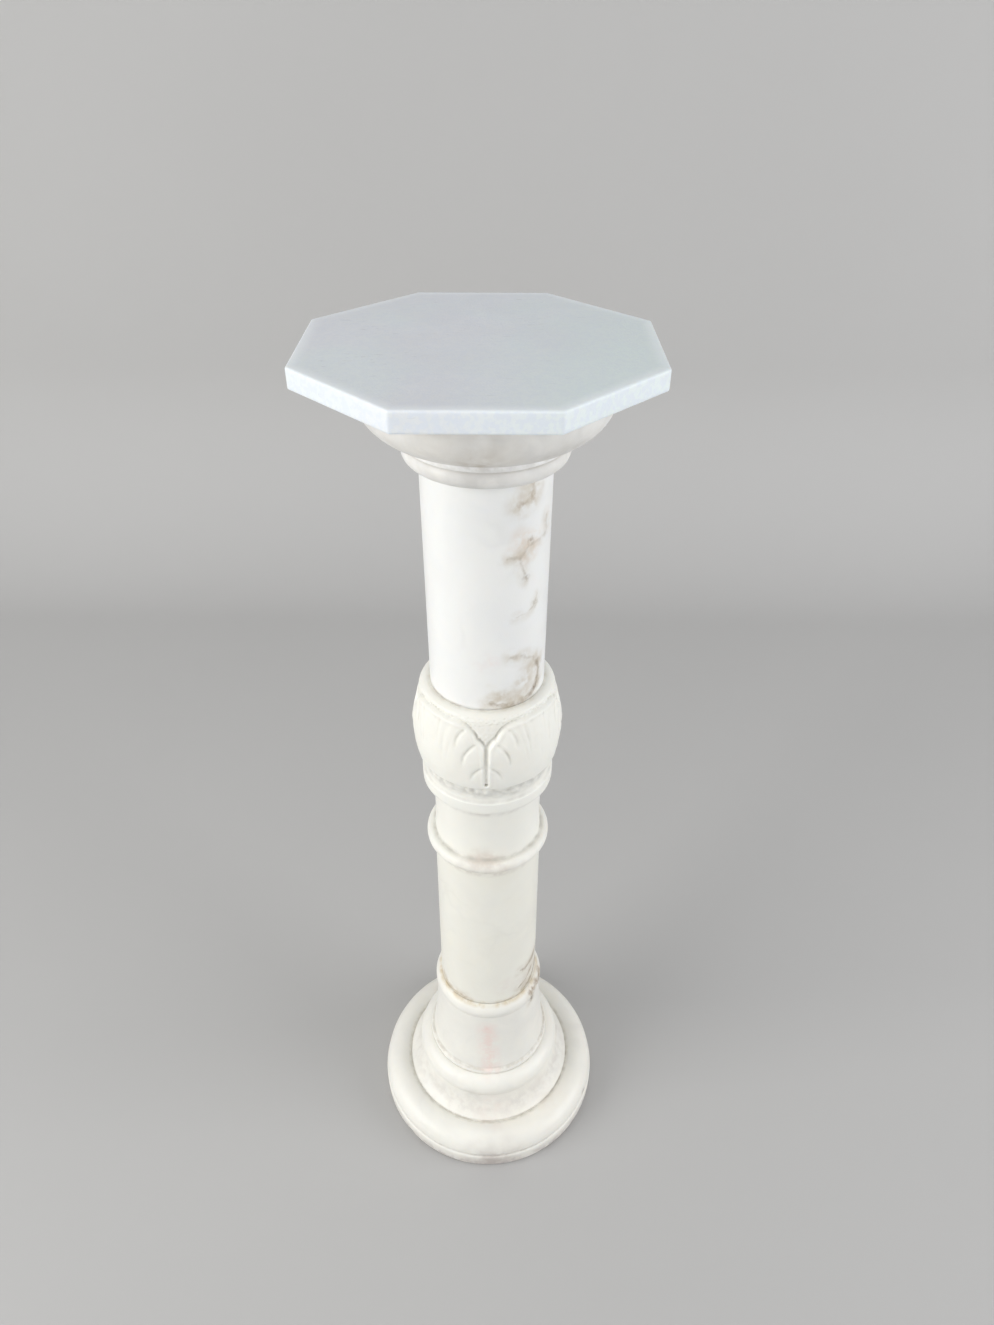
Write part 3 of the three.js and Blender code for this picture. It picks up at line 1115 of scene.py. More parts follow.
@dataclass
class LeafKnop(TurnedPiece):
    """Bead, drum, band and bowl under a cup with four carved leaves, in millimetres.

    A moulding's values are its reach outwards, its rise and its swell. A lobe of the leaf's margin ends at
    a share of the half leaf's turn and of the leaf's height, with a swell. A vein has two such ends.
    """

    shaft_radius: float = 56.6
    cup_shaft_radius: float = 54.1
    bead_radius: float = 6.9
    bead_offset: float = 1.9
    drum: tuple[float, float, float, float] = (-0.4, 78.3, 1.6, 1.0)
    band: Triple = (9.0, 12.5, 0.1)
    cavetto: Triple = (2.7, 8.5, 1.1)
    bowl: Triple = (1.9, 16.5, 0.8)
    bowl_lumps: Roughness = Roughness(1.0, 10.0, 9, 18)
    bowl_loss: float = 0.6
    ring_steps: Pair = (4.0, 1.0)
    leaf_count: int = 4
    leaf_height: float = 79.5
    leaf_overhang: float = 3.2
    leaf_swell: float = 5.3
    leaf_top_relief: float = 0.7
    leaf_top_gap: float = 2.0
    carved_past_top: float = 2.5
    cup_swell: float = 3.0
    ledge_width: float = 11.3
    rim_rise: float = 4.9
    rim_round: float = 8.5
    gap_width: float = 4.4
    gap_depth: Pair = (0.9, 2.2)
    gap_foot: Pair = (1.4, 2.4)
    notch_share: float = 0.63
    notch_open: Pair = (-4.0, 6.0)
    notch_trenches: tuple[Point, ...] = ((1.4, -1.9, 2.0), (0.7, 0.0, 5.0))
    notch_stipple: Roughness = Roughness(0.22, 2.6, 7, 20)
    drill_share: float = 0.07
    drill_radius: float = 1.5
    drill_depth: float = 5.0
    drill_round: float = 0.5
    margin_round: float = 1.2
    margin_crown: Pair = (0.55, 2.2)
    margin_groove: Point = (0.5, 2.4, 1.5)
    shoulder: float = 1.6
    shoulder_width: float = 13.0
    shoulder_rise: Pair = (-14.0, 4.0)
    shoulder_turn: Pair = (0.3, 0.65)
    lobes: tuple[Point, ...] = (
        (0.17, 0.75, 1.1), (0.34, 0.91, 1.4), (0.64, 0.95, 1.2), (0.96, 0.965, 0.5), (1.1, 0.96, 0.4),
    )
    veins: tuple[tuple[float, float, float, float, float], ...] = (
        (0.34, 0.885, 0.52, 0.63, 2.8), (0.19, 0.69, 0.4, 0.4, 3.1), (0.07, 0.37, 0.26, 0.16, 2.3),
    )
    vein_depths: tuple[float, ...] = (1.0, 1.2, 0.9)
    vein_sections: tuple[Point, ...] = ((1.0, 0.0, 1.6), (0.4, 0.0, 4.2))
    vein_ends: Triple = (0.12, 0.85, 0.6)
    tool_marks: Roughness = Roughness(0.12, 14.0, 5, 16)
    flutes: Flutes = Flutes()

    @property
    def half_leaf(self) -> float:
        """Gives half the turn of a leaf, in radians."""
        return math.pi / self.leaf_count

    @property
    def band_radius(self) -> float:
        """Gives the radius of the band."""
        return self.shaft_radius + self.drum[0] + self.drum[3] + self.band[0]

    @property
    def leaf_foot(self) -> Pair:
        """Gives the radius and height of the leaves' foot."""
        rise = 2 * self.bead_radius + self.drum[1] + self.band[1] + self.cavetto[1] + self.bowl[1]
        return self.band_radius + self.leaf_overhang, self.foot + rise

    @property
    def rim_radius(self) -> float:
        """Gives the radius of the cup's rim."""
        return self.cup_shaft_radius + self.ledge_width

    @property
    def gap_run(self) -> Pair:
        """Gives the heights of the drilled eye and of the notch's foot."""
        foot = self.leaf_foot[1]
        return foot + self.drill_share * self.leaf_height, foot + self.notch_share * self.leaf_height

    @property
    def belly(self) -> float:
        """Gives the leaves' greatest radius."""
        return (self.leaf_foot[0] + self.rim_radius + self.leaf_top_relief) / 2 + self.leaf_swell

    def stem(self) -> Profile:
        """Draws the bead, drum, band, cavetto and bowl.

        Returns:
            The outline up to the leaves.
        """
        bead = self.shaft_radius + self.bead_offset
        drum = self.shaft_radius + self.drum[0]
        bowl_foot = self.band_radius - self.cavetto[0]
        return (
            Profile(bead, self.foot)
            .arc(bead, 2 * self.bead_radius, self.bead_radius, 20)
            .line(drum, 0.0)
            .arc(drum + self.drum[3], self.drum[1], -self.drum[2], 16)
            .line(self.band_radius - self.band[2], 0.0)
            .line(self.band_radius, self.band[1])
            .arc(bowl_foot, self.cavetto[1], -self.cavetto[2], 8)
            .arc(bowl_foot + self.bowl[0], self.bowl[1], self.bowl[2], 12)
        )

    def ground(self) -> Profile:
        """Draws the plain cup behind the leaves, up to its ledge.

        Returns:
            The cup's outline.
        """
        start = self.stem().end
        rise = self.leaf_height + self.rim_rise - self.rim_round
        return (
            Profile(*start)
            .arc(self.rim_radius, rise, self.cup_swell, 40)
            .arc(self.rim_radius - self.rim_round, self.rim_round, self.rim_round / 4, 10)
        )

    def outline(self) -> Profile:
        """Draws the stem, the leaves' face and the cup's rounded rim.

        Returns:
            The outline.
        """
        profile = self.stem().line(self.leaf_foot[0], 0.0)
        straight = self.leaf_height - self.leaf_top_gap
        profile.arc(self.rim_radius + self.leaf_top_relief, straight, self.leaf_swell, 80)
        top = profile.end[1] + self.leaf_top_gap / 2
        profile.points += [point for point in self.ground().points if point[1] > top]
        return profile

    def rings(self) -> list[Pair]:
        """Gives fine rings over the leaves and coarser ones below.

        Returns:
            Radii and heights.
        """
        points = self.outline().eased(self.easing).points
        start = next(i for i, point in enumerate(points) if point[1] >= self.leaf_foot[1] - CLOSE)
        rings = []
        for part, step in zip((points[:start], points[start:]), self.ring_steps):
            profile = Profile(*part[0])
            profile.points = part
            rings += profile.divided(step)
        return rings

    def margin(self) -> np.ndarray:
        """Gives the leaf margin's line from the gap's foot to past the midrib, in the leaf's plane.

        Returns:
            The line's points.
        """
        sunk, rise = self.gap_foot
        line = Profile(0.0, self.gap_run[0] - sunk).line(self.gap_width / 4, rise)
        line.line(self.gap_width / 2, self.gap_run[1] - line.end[1])
        for across, up, swell in self.lobes:
            place = self.belly * math.sin(across * self.half_leaf)
            line.arc(place, self.leaf_foot[1] + up * self.leaf_height - line.end[1], -swell, 8)
        return np.array(line.points)

    def vein_line(self, vein: Sequence[float]) -> np.ndarray:
        """Gives the middle line of one curved cut, in the leaf's plane.

        Args:
            vein: the places of the cut's ends and its swell.

        Returns:
            The line's points.
        """
        across, up, end_across, end_up, swell = vein
        start, end = (self.belly * math.sin(share * self.half_leaf) for share in (across, end_across))
        line = Profile(start, self.leaf_foot[1] + up * self.leaf_height)
        return np.array(line.arc(end, (end_up - up) * self.leaf_height, -swell, 8).points)

    @staticmethod
    def away_from(points: np.ndarray, line: np.ndarray) -> tuple[np.ndarray, np.ndarray]:
        """Measures points against a broken line.

        Args:
            points: places in the leaf's plane.
            line: the line's points.

        Returns:
            The distance of each point and how far along the line its nearest place is, from 0 to 1.
        """
        nearest = np.full(len(points), np.inf)
        place = np.zeros(len(points))
        for index, (start, end) in enumerate(zip(line, line[1:])):
            run = end - start
            share = np.clip((points - start) @ run / max(run @ run, SMALL), 0.0, 1.0)
            away = np.linalg.norm(points - start - share[:, None] * run, axis=1)
            closer = away < nearest
            nearest[closer] = away[closer]
            place[closer] = (index + share[closer]) / (len(line) - 1)
        return nearest, place

    @staticmethod
    def within(points: np.ndarray, line: np.ndarray) -> np.ndarray:
        """Says which points lie in the notch, between the gap and the margin.

        Args:
            points: places in the leaf's plane.
            line: the margin.

        Returns:
            True for each point in the notch.
        """
        past_gap, past_top = 1.0, 60.0
        left, above = -past_gap, line[-1][1] + past_top
        ring = np.vstack([[left, line[0][1]], line, [line[-1][0], above], [left, above]])
        inside = np.zeros(len(points), dtype=bool)
        for start, end in zip(ring, np.roll(ring, -1, axis=0)):
            crosses = (start[1] > points[:, 1]) != (end[1] > points[:, 1])
            rise = end[1] - start[1]
            slope = (end[0] - start[0]) / (rise if abs(rise) > SMALL else SMALL)
            inside ^= crosses & (points[:, 0] < (points[:, 1] - start[1]) * slope + start[0])
        return inside

    def carve(self, surface: Surface) -> None:
        """Carves the leaves, then makes the bowl below them slightly lumpy.

        Args:
            surface: the piece's surface.
        """
        places = surface.places
        foot = self.leaf_foot[1]
        low, high = foot + CLOSE, foot + self.leaf_height + self.carved_past_top
        leaves = np.flatnonzero((places[:, 2] > low) & (places[:, 2] < high))
        places[leaves, :2] *= (self.carved_radii(places[leaves]) / self.radii(places[leaves]))[:, None]
        up = (places[:, 2] - foot) / self.bowl[1] + 1.0
        bowl = np.flatnonzero((up > 0.0) & (places[:, 2] < foot - CLOSE))
        bulge = np.sqrt(np.clip(1.0 - np.abs(2.0 * up[bowl] - 1.0), 0.0, 1.0))
        lumps = bulge * (self.bowl_lumps.over(places[bowl]) - self.bowl_loss * self.bowl_lumps.height)
        places[bowl, :2] *= (1.0 + lumps / self.radii(places[bowl]).clip(1.0))[:, None]

    @staticmethod
    def radii(places: np.ndarray) -> np.ndarray:
        """Gives the distance of each place from the axis."""
        return np.hypot(places[:, 0], places[:, 1])

    def carved_radii(self, places: np.ndarray) -> np.ndarray:
        """Cuts the notches, gaps, lobes, veins, flutes and drilled eyes of the leaves.

        Args:
            places: points of the leaves' plain face.

        Returns:
            The carved distance of each point from the axis.
        """
        radius, z = self.radii(places), places[:, 2]
        turn = np.arctan2(places[:, 0], -places[:, 1]) + self.half_leaf
        offset = turn % (2 * self.half_leaf) - self.half_leaf
        points = np.column_stack([radius * np.sin(np.abs(offset)), z])
        line = self.margin()
        away, _ = self.away_from(points, line)
        signed = np.where(self.within(points, line), -away, away)
        over_notch = z - self.gap_run[1]

        height, width = self.margin_crown
        crown = height * (1.0 - smooth_step(signed, 0.0, width)) - hump(signed, *self.margin_groove)
        near_gap = 1.0 - smooth_step(np.abs(offset) / self.half_leaf, *self.shoulder_turn)
        beside = 1.0 - smooth_step(signed, 0.0, self.shoulder_width)
        fall = self.shoulder * near_gap * beside * smooth_step(over_notch, *self.shoulder_rise)
        up = (z - self.leaf_foot[1]) / self.leaf_height
        flutes = self.flutes.cut(self.half_leaf, offset, up)
        face = radius - crown - fall - self.vein_cuts(points) - flutes - self.tool_marks.over(places)

        ground = np.array(self.ground().points)
        shallow = radius - fall - np.interp(z, self.gap_run, self.gap_depth)
        open_floor = np.interp(z, ground[:, 1], ground[:, 0]) + self.notch_stipple.over(places)
        for trench in self.notch_trenches:
            open_floor -= hump(signed, *trench)
        opened = smooth_step(over_notch, *self.notch_open)
        floor = np.maximum(shallow, open_floor) * (1.0 - opened) + open_floor * opened
        stands = smooth_step(signed, -self.margin_round, self.margin_round)
        carved = floor + stands * np.maximum(face - floor, 0.0)
        eye = np.hypot(points[:, 0], z - self.gap_run[0])
        ends = self.drill_radius + self.drill_round, self.drill_radius - self.drill_round
        return carved - self.drill_depth * smooth_step(eye, *ends)

    def vein_cuts(self, points: np.ndarray) -> np.ndarray:
        """Gives the depth of the curved cuts beside the gaps.

        Args:
            points: places in the leaf's plane.

        Returns:
            Depth in millimetres.
        """
        depth = np.zeros(len(points))
        start, run, power = self.vein_ends
        for vein, cut in zip(self.veins, self.vein_depths):
            near, along = self.away_from(points, self.vein_line(vein))
            taper = np.sin(np.pi * np.clip(start + along * run, 0.0, 1.0)) ** power
            depth += cut * taper * sum(hump(near, *section) for section in self.vein_sections)
        return depth


@dataclass
class TopSlab(Piece):
    """Regular octagon with rounded arrises, in millimetres; least_bed is an area in square metres."""

    sides: int = 8
    across_flats: float = 271.96
    thickness: float = 16.5
    arris: float = 1.8
    arris_steps: int = 5
    shift: float = -4.5
    foot: float = 983.5
    inset: float = 1.6
    least_bed: float = 0.01
    long_edge: float = 80.0
    face_cuts: int = 70
    side_cuts: int = 7

    def shape(self) -> bmesh.types.BMesh:
        """Extrudes the octagon, rounds its arrises and cuts its edges fine enough for chips.

        Returns:
            The slab's form.
        """
        form = bmesh.new()
        corner_radius = self.across_flats / 2 / math.cos(math.pi / self.sides)
        place = Matrix.Translation((self.shift * MM, 0.0, self.foot * MM))
        turned = place @ Matrix.Rotation(math.pi / self.sides, 4, "Z")
        bmesh.ops.create_circle(
            form, cap_ends=True, segments=self.sides, radius=corner_radius * MM, matrix=turned,
        )
        raised = bmesh.ops.extrude_face_region(form, geom=list(form.faces))
        tops = [item for item in raised["geom"] if isinstance(item, bmesh.types.BMVert)]
        bmesh.ops.translate(form, verts=tops, vec=(0.0, 0.0, self.thickness * MM))
        bmesh.ops.recalc_face_normals(form, faces=form.faces)
        bmesh.ops.bevel(
            form, geom=list(form.edges), offset=self.arris * MM, offset_type="OFFSET", affect="EDGES",
            segments=self.arris_steps, profile=0.5, material=-1, clamp_overlap=True,
        )
        beds = [face for face in form.faces if len(face.verts) > 4 and face.calc_area() > self.least_bed]
        for face in beds:
            bmesh.ops.inset_region(form, faces=[face], thickness=self.inset * MM, use_even_offset=True)
        runs = [edge for edge in form.edges if edge.calc_length() > self.long_edge * MM]
        bmesh.ops.subdivide_edges(form, edges=runs, cuts=self.face_cuts, use_grid_fill=True)
        rise = self.thickness * MM / 2
        uprights = [e for e in form.edges if abs(e.verts[0].co.z - e.verts[1].co.z) > rise]
        bmesh.ops.subdivide_edges(form, edges=uprights, cuts=self.side_cuts, use_grid_fill=True)
        return form


@dataclass(frozen=True)
class Lamp:
    """A soft square lamp: where it hangs and points, its side in metres, its watts and its colour."""

    name: str
    place: Point
    aim: Point
    size: float
    power: float
    colour: Colour

    def hang(self) -> None:
        """Hangs the lamp in the scene."""
        data = bpy.data.lights.new(self.name, "AREA")
        data.shape = "SQUARE"
        data.size = self.size
        data.energy = self.power
        data.color = self.colour
        made = bpy.data.objects.new(self.name, data)
        turn = (Vector(self.place) - Vector(self.aim)).to_track_quat("Z", "Y").to_matrix().to_4x4()
        made.matrix_world = Matrix.Translation(self.place) @ turn
        bpy.context.scene.collection.objects.link(made)


@dataclass
class Studio:
    """Pale floor, backdrop, soft light and the camera at the photograph's angle, in metres."""

    focal_share: float = 918.0 / 1325.0
    film: float = 36.0
    clip: Pair = (0.02, 60.0)
    pitch: float = math.radians(36.77)
    yaw: float = math.radians(-0.14)
    roll: float = math.radians(0.22)
    stand: Point = (0.01111, -0.69467, 1.2195)
    half_width: float = 9.0
    near: float = -7.0
    wall_distance: float = 1.1
    wall_height: float = 6.0
    cove_radius: float = 0.45
    cove_steps: int = 24
    floor_colour: Colour = (0.5, 0.495, 0.485)
    floor_shade: float = 0.94
    floor_drift: float = 900.0
    floor_roughness: float = 0.75
    room_colour: Colour = (0.95, 0.965, 1.0)
    room_strength: float = 0.45
    lamps: tuple[Lamp, ...] = (
        Lamp("window", (-2.45, -1.25, 1.4), (0.0, 0.0, 0.5), 2.0, 61.5, (1.0, 0.995, 0.98)),
        Lamp("fill", (2.6, -0.75, 1.2), (0.0, 0.0, 0.5), 2.0, 47.5, (0.98, 0.985, 1.0)),
        Lamp("ceiling", (-0.3, -0.6, 3.0), (0.0, 0.0, 0.0), 2.2, 14.0, (1.0, 1.0, 1.0)),
    )

    def camera(self) -> None:
        """Makes the camera where the photograph was taken from."""
        ahead = Vector((
            math.sin(self.yaw) * math.cos(self.pitch),
            math.cos(self.yaw) * math.cos(self.pitch),
            -math.sin(self.pitch),
        ))
        right = Vector((math.cos(self.yaw), -math.sin(self.yaw), 0.0))
        up = right.cross(ahead)
        rolled = right * math.cos(self.roll) + up * math.sin(self.roll)
        upright = up * math.cos(self.roll) - right * math.sin(self.roll)
        data = bpy.data.cameras.new("view")
        data.sensor_fit = "VERTICAL"
        data.sensor_height = self.film
        data.lens = self.film * self.focal_share
        data.clip_start, data.clip_end = self.clip
        made = bpy.data.objects.new("view", data)
        turn = Matrix((rolled, upright, -ahead)).transposed().to_4x4()
        made.matrix_world = Matrix.Translation(self.stand) @ turn
        bpy.context.scene.collection.objects.link(made)
        bpy.context.scene.camera = made

    def backdrop(self) -> None:
        """Makes a floor that curves up into a plain wall behind the column."""
        form = bmesh.new()
        start = form.verts.new((-self.half_width, self.near, 0.0))
        turn = form.verts.new((-self.half_width, self.wall_distance, 0.0))
        form.edges.new((start, turn))
        spun = bmesh.ops.spin(
            form, geom=[turn], cent=(0.0, self.wall_distance, self.cove_radius), axis=(1, 0, 0),
            angle=math.pi / 2, steps=self.cove_steps,
        )
        top = [item for item in spun["geom_last"] if isinstance(item, bmesh.types.BMVert)][0]
        form.edges.new((top, form.verts.new((top.co.x, top.co.y, self.wall_height))))
        swept = bmesh.ops.extrude_edge_only(form, edges=list(form.edges))
        moved = [item for item in swept["geom"] if isinstance(item, bmesh.types.BMVert)]
        bmesh.ops.translate(form, verts=moved, vec=(2 * self.half_width, 0.0, 0.0))
        bmesh.ops.recalc_face_normals(form, faces=form.faces)
        mesh = bpy.data.meshes.new("floor")
        form.to_mesh(mesh)
        form.free()
        mesh.shade_smooth()
        made = bpy.data.objects.new("floor", mesh)
        bpy.context.scene.collection.objects.link(made)
        mesh.materials.append(self.floor_material())

    def floor_material(self) -> bpy.types.Material:
        """Builds the floor's plain pale paint.

        Returns:
            The finished material.
        """
        shader = Shader("floor_paint")
        darker = tuple(self.floor_shade * share for share in self.floor_colour)
        colour = shader.blend(shader.noise(shader.place, self.floor_drift), self.floor_colour, darker)
        finish = {"Base Color": colour, "Roughness": self.floor_roughness}
        paint = shader.node("ShaderNodeBsdfPrincipled", {}, finish)
        shader.node("ShaderNodeOutputMaterial", {}, {"Surface": paint})
        return shader.material

    def light(self) -> None:
        """Hangs the lamps and sets the room's own light."""
        for lamp in self.lamps:
            lamp.hang()
        world = bpy.data.worlds.new("room")
        world.use_nodes = True
        room = world.node_tree.nodes["Background"]
        room.inputs["Color"].default_value = (*self.room_colour, 1.0)
        room.inputs["Strength"].default_value = self.room_strength
        bpy.context.scene.world = world
        bpy.context.scene.view_settings.view_transform = "Standard"

    def build(self) -> None:
        """Sets up the whole studio."""
        self.camera()
        self.backdrop()
        self.light()


def base_finish() -> StoneFinish:
    """Gives the foot's warm white marble, with painted shade in its creases and over the front of its foot
    band.
    """
    brown = (0.3, 0.21, 0.13)
    return StoneFinish(
        slot=Slot.BASE,
        base=(0.87, 0.855, 0.79),
        cloud=(0.8, 0.79, 0.74),
        warm=(0.86, 0.82, 0.73),
        clouds=soft_clouds(50.0),
        stains_and_painted_light=(
            # Dirt in the lip where the shaft stands, with painted contact shadow.
            RingDirtAndPaintedLight(57.9, 232.0, 7.5, (0.6, 0.49, 0.3), 0.8),
            # Painted shade in the crease between the bead and the collar.
            RingDirtAndPaintedLight(73.5, 112.5, 3.4, (0.5, 0.45, 0.37), 0.6),
            # Painted shade under the ring's overhang.
            RingDirtAndPaintedLight(88.0, 79.5, 4.5, (0.58, 0.54, 0.47), 0.55),
            # Painted shade in the crease between the torus and the fillet.
            RingDirtAndPaintedLight(106.0, 46.5, 4.0, (0.52, 0.49, 0.42), 0.55),
            # Painted shade in the groove between the torus and the foot band.
            RingDirtAndPaintedLight(136.6, 24.6, 3.4, (0.42, 0.39, 0.34), 0.75),
            # Painted shade over the foot band, darkest at the floor.
            RingDirtAndPaintedLight(140.5, 2.0, 20.0, (0.5, 0.45, 0.42), 0.95),
            # Painted shade over the hollow scotia.
            RingDirtAndPaintedLight(97.0, 61.0, 18.0, (0.68, 0.65, 0.6), 0.75),
            Stain(((-1.0, -66.0, 188.0), (1.6, -66.6, 150.0), (4.1, -71.8, 112.0)), 7.0, 20.0,
                  (0.84, 0.66, 0.6), 0.6, 0.9, (0.85, 0.72, 0.67)),
            Stain(((53.0, -38.0, 226.0), (54.1, -36.0, 213.7), (54.8, -35.0, 205.0)),
                  4.5, 13.0, brown, 1.0, 0.7),
            Stain(((63.0, -4.7, 226.0), (59.4, -19.5, 224.3), (54.0, -31.4, 225.4)),
                  4.5, 12.0, brown, 1.0, 0.7),
            StainAndShadePatch((54.0, -33.0, 211.0), 8.5, (0.1, 0.07, 0.05), 1.0),
            StainAndShadePatch((60.5, -14.0, 222.0), 7.5, (0.13, 0.1, 0.07), 1.0),
            StainAndShadePatch((-20.0, -84.0, 78.0), 22.0, (0.68, 0.66, 0.61), 0.8),
            StainAndShadePatch((4.0, -98.0, 62.0), 34.0, (0.78, 0.7, 0.64), 0.7),
            StainAndShadePatch((72.0, -70.0, 62.0), 30.0, (0.76, 0.71, 0.64), 0.6),
            # Painted shade on the front of the foot band.
            StainAndShadePatch((12.0, -142.0, 0.0), 62.0, (0.42, 0.37, 0.34), 1.0),
            # Painted shade on the front of the foot band, deeper at the floor.
            StainAndShadePatch((0.0, -140.0, 4.0), 34.0, (0.5, 0.45, 0.42), 0.8),
            StainAndShadePatch((-70.0, -112.0, 40.0), 40.0, (0.78, 0.78, 0.72), 0.6),
        ),
    )


def lower_shaft_finish() -> StoneFinish:
    """Gives the lower shaft's cream-white marble, with dirt and painted contact shadow at its foot and
    painted shade under the bead at its top.
    """
    brown = (0.3, 0.22, 0.14)
    return StoneFinish(
        slot=Slot.LOWER_SHAFT,
        base=(0.88, 0.87, 0.79),
        cloud=(0.83, 0.82, 0.755),
        warm=(0.87, 0.84, 0.73),
        roughness=0.3,
        stains_and_painted_light=(
            Stain(((55.5, -14.0, 283.0), (49.5, -29.5, 275.5), (44.5, -36.6, 274.5), (39.0, -42.3, 276.8)),
                  3.6, 14.0, brown, 0.85, 0.8),
            Stain(((57.4, -5.0, 262.0), (54.6, -18.0, 247.0), (48.6, -31.0, 238.0), (40.9, -40.6, 236.0)),
                  5.0, 16.0, brown, 1.0, 0.9),
            Stain(((52.0, -24.5, 262.0), (46.0, -34.5, 252.0), (37.0, -44.0, 246.0)),
                  2.6, 12.0, brown, 0.8, 0.7),
            Stain(((-54.2, -19.4, 241.0), (-47.7, -32.3, 236.5), (-39.0, -42.4, 235.5),
                   (-26.3, -51.2, 235.0)),
                  4.5, 16.0, (0.46, 0.36, 0.24), 0.8, 0.9),
            StainAndShadePatch((46.0, -34.0, 262.0), 26.0, (0.7, 0.64, 0.56), 0.7),
            StainAndShadePatch((20.0, -54.0, 262.0), 24.0, (0.82, 0.76, 0.7), 0.5),
            # Dirt at the foot in the lip, with painted contact shadow.
            RingDirtAndPaintedLight(57.7, 233.0, 7.0, (0.58, 0.48, 0.31), 0.7),
            # Painted shade under the knop's bead, at the shaft's top.
            RingDirtAndPaintedLight(56.6, 466.0, 8.0, (0.6, 0.56, 0.5), 0.55),
        ),
    )


def carved_finish() -> StoneFinish:
    """Gives the carved cup's white marble with dirt and painted shade in its cuts, and painted shade on its
    bead, in its creases and under its band and leaves.
    """
    return StoneFinish(
        slot=Slot.CARVED,
        base=(0.89, 0.885, 0.82),
        cloud=(0.84, 0.84, 0.79),
        warm=(0.88, 0.85, 0.76),
        roughness=0.42,
        grain=0.2,
        # Dirt and painted shade in the carved cuts, stronger here.
        hollow_dirt_and_shade=(0.5, 0.48, 0.42),
        hollow_dirt_and_shade_share=0.75,
        stains_and_painted_light=(
            # A reddish-brown stain on the bead's front; its broad haze is partly painted shade on the
            # bead's lower front.
            Stain(((-9.0, -55.5, 486.6), (-3.0, -56.0, 485.0), (3.0, -56.0, 487.0)), 2.6, 14.0,
                  (0.58, 0.36, 0.27), 0.5, 0.4, (0.74, 0.58, 0.49)),
            # Painted shade on the bead's lower front.
            StainAndShadePatch((-8.0, -65.0, 480.0), 32.0, (0.7, 0.64, 0.57), 0.9),
            # Painted shade on the bead's lower front.
            StainAndShadePatch((8.0, -65.0, 479.0), 32.0, (0.7, 0.64, 0.57), 0.9),
            # Painted shade over the bead.
            RingDirtAndPaintedLight(65.4, 479.4, 9.0, (0.74, 0.71, 0.65), 0.5),
            # Painted shade in the crease where the upper shaft stands on the ledge.
            RingDirtAndPaintedLight(54.6, 686.5, 4.5, (0.62, 0.56, 0.45), 0.45),
            # Painted shadow that the band casts on the drum.
            RingDirtAndPaintedLight(57.0, 556.0, 8.0, (0.55, 0.53, 0.49), 0.6),
            # Painted shade on the band's lower edge.
            RingDirtAndPaintedLight(66.0, 565.0, 3.0, (0.6, 0.58, 0.54), 0.4),
            # Painted shade on the bowl under the leaves.
            RingDirtAndPaintedLight(65.4, 596.5, 6.5, (0.56, 0.54, 0.49), 0.5),
            # Painted shade on the bowl under the leaves, broader.
            RingDirtAndPaintedLight(65.4, 591.0, 11.0, (0.6, 0.59, 0.55), 0.75),
            # Painted shade in the cavetto above the band.
            RingDirtAndPaintedLight(64.0, 579.0, 3.0, (0.6, 0.58, 0.53), 0.45),
            # Painted shade in the crease over the bead.
            RingDirtAndPaintedLight(57.5, 486.8, 3.5, (0.6, 0.57, 0.5), 0.45),
            # The dark joint under the bead, deepened with painted shade.
            RingDirtAndPaintedLight(57.5, 473.5, 3.5, (0.5, 0.45, 0.38), 0.6),
        ),
    )


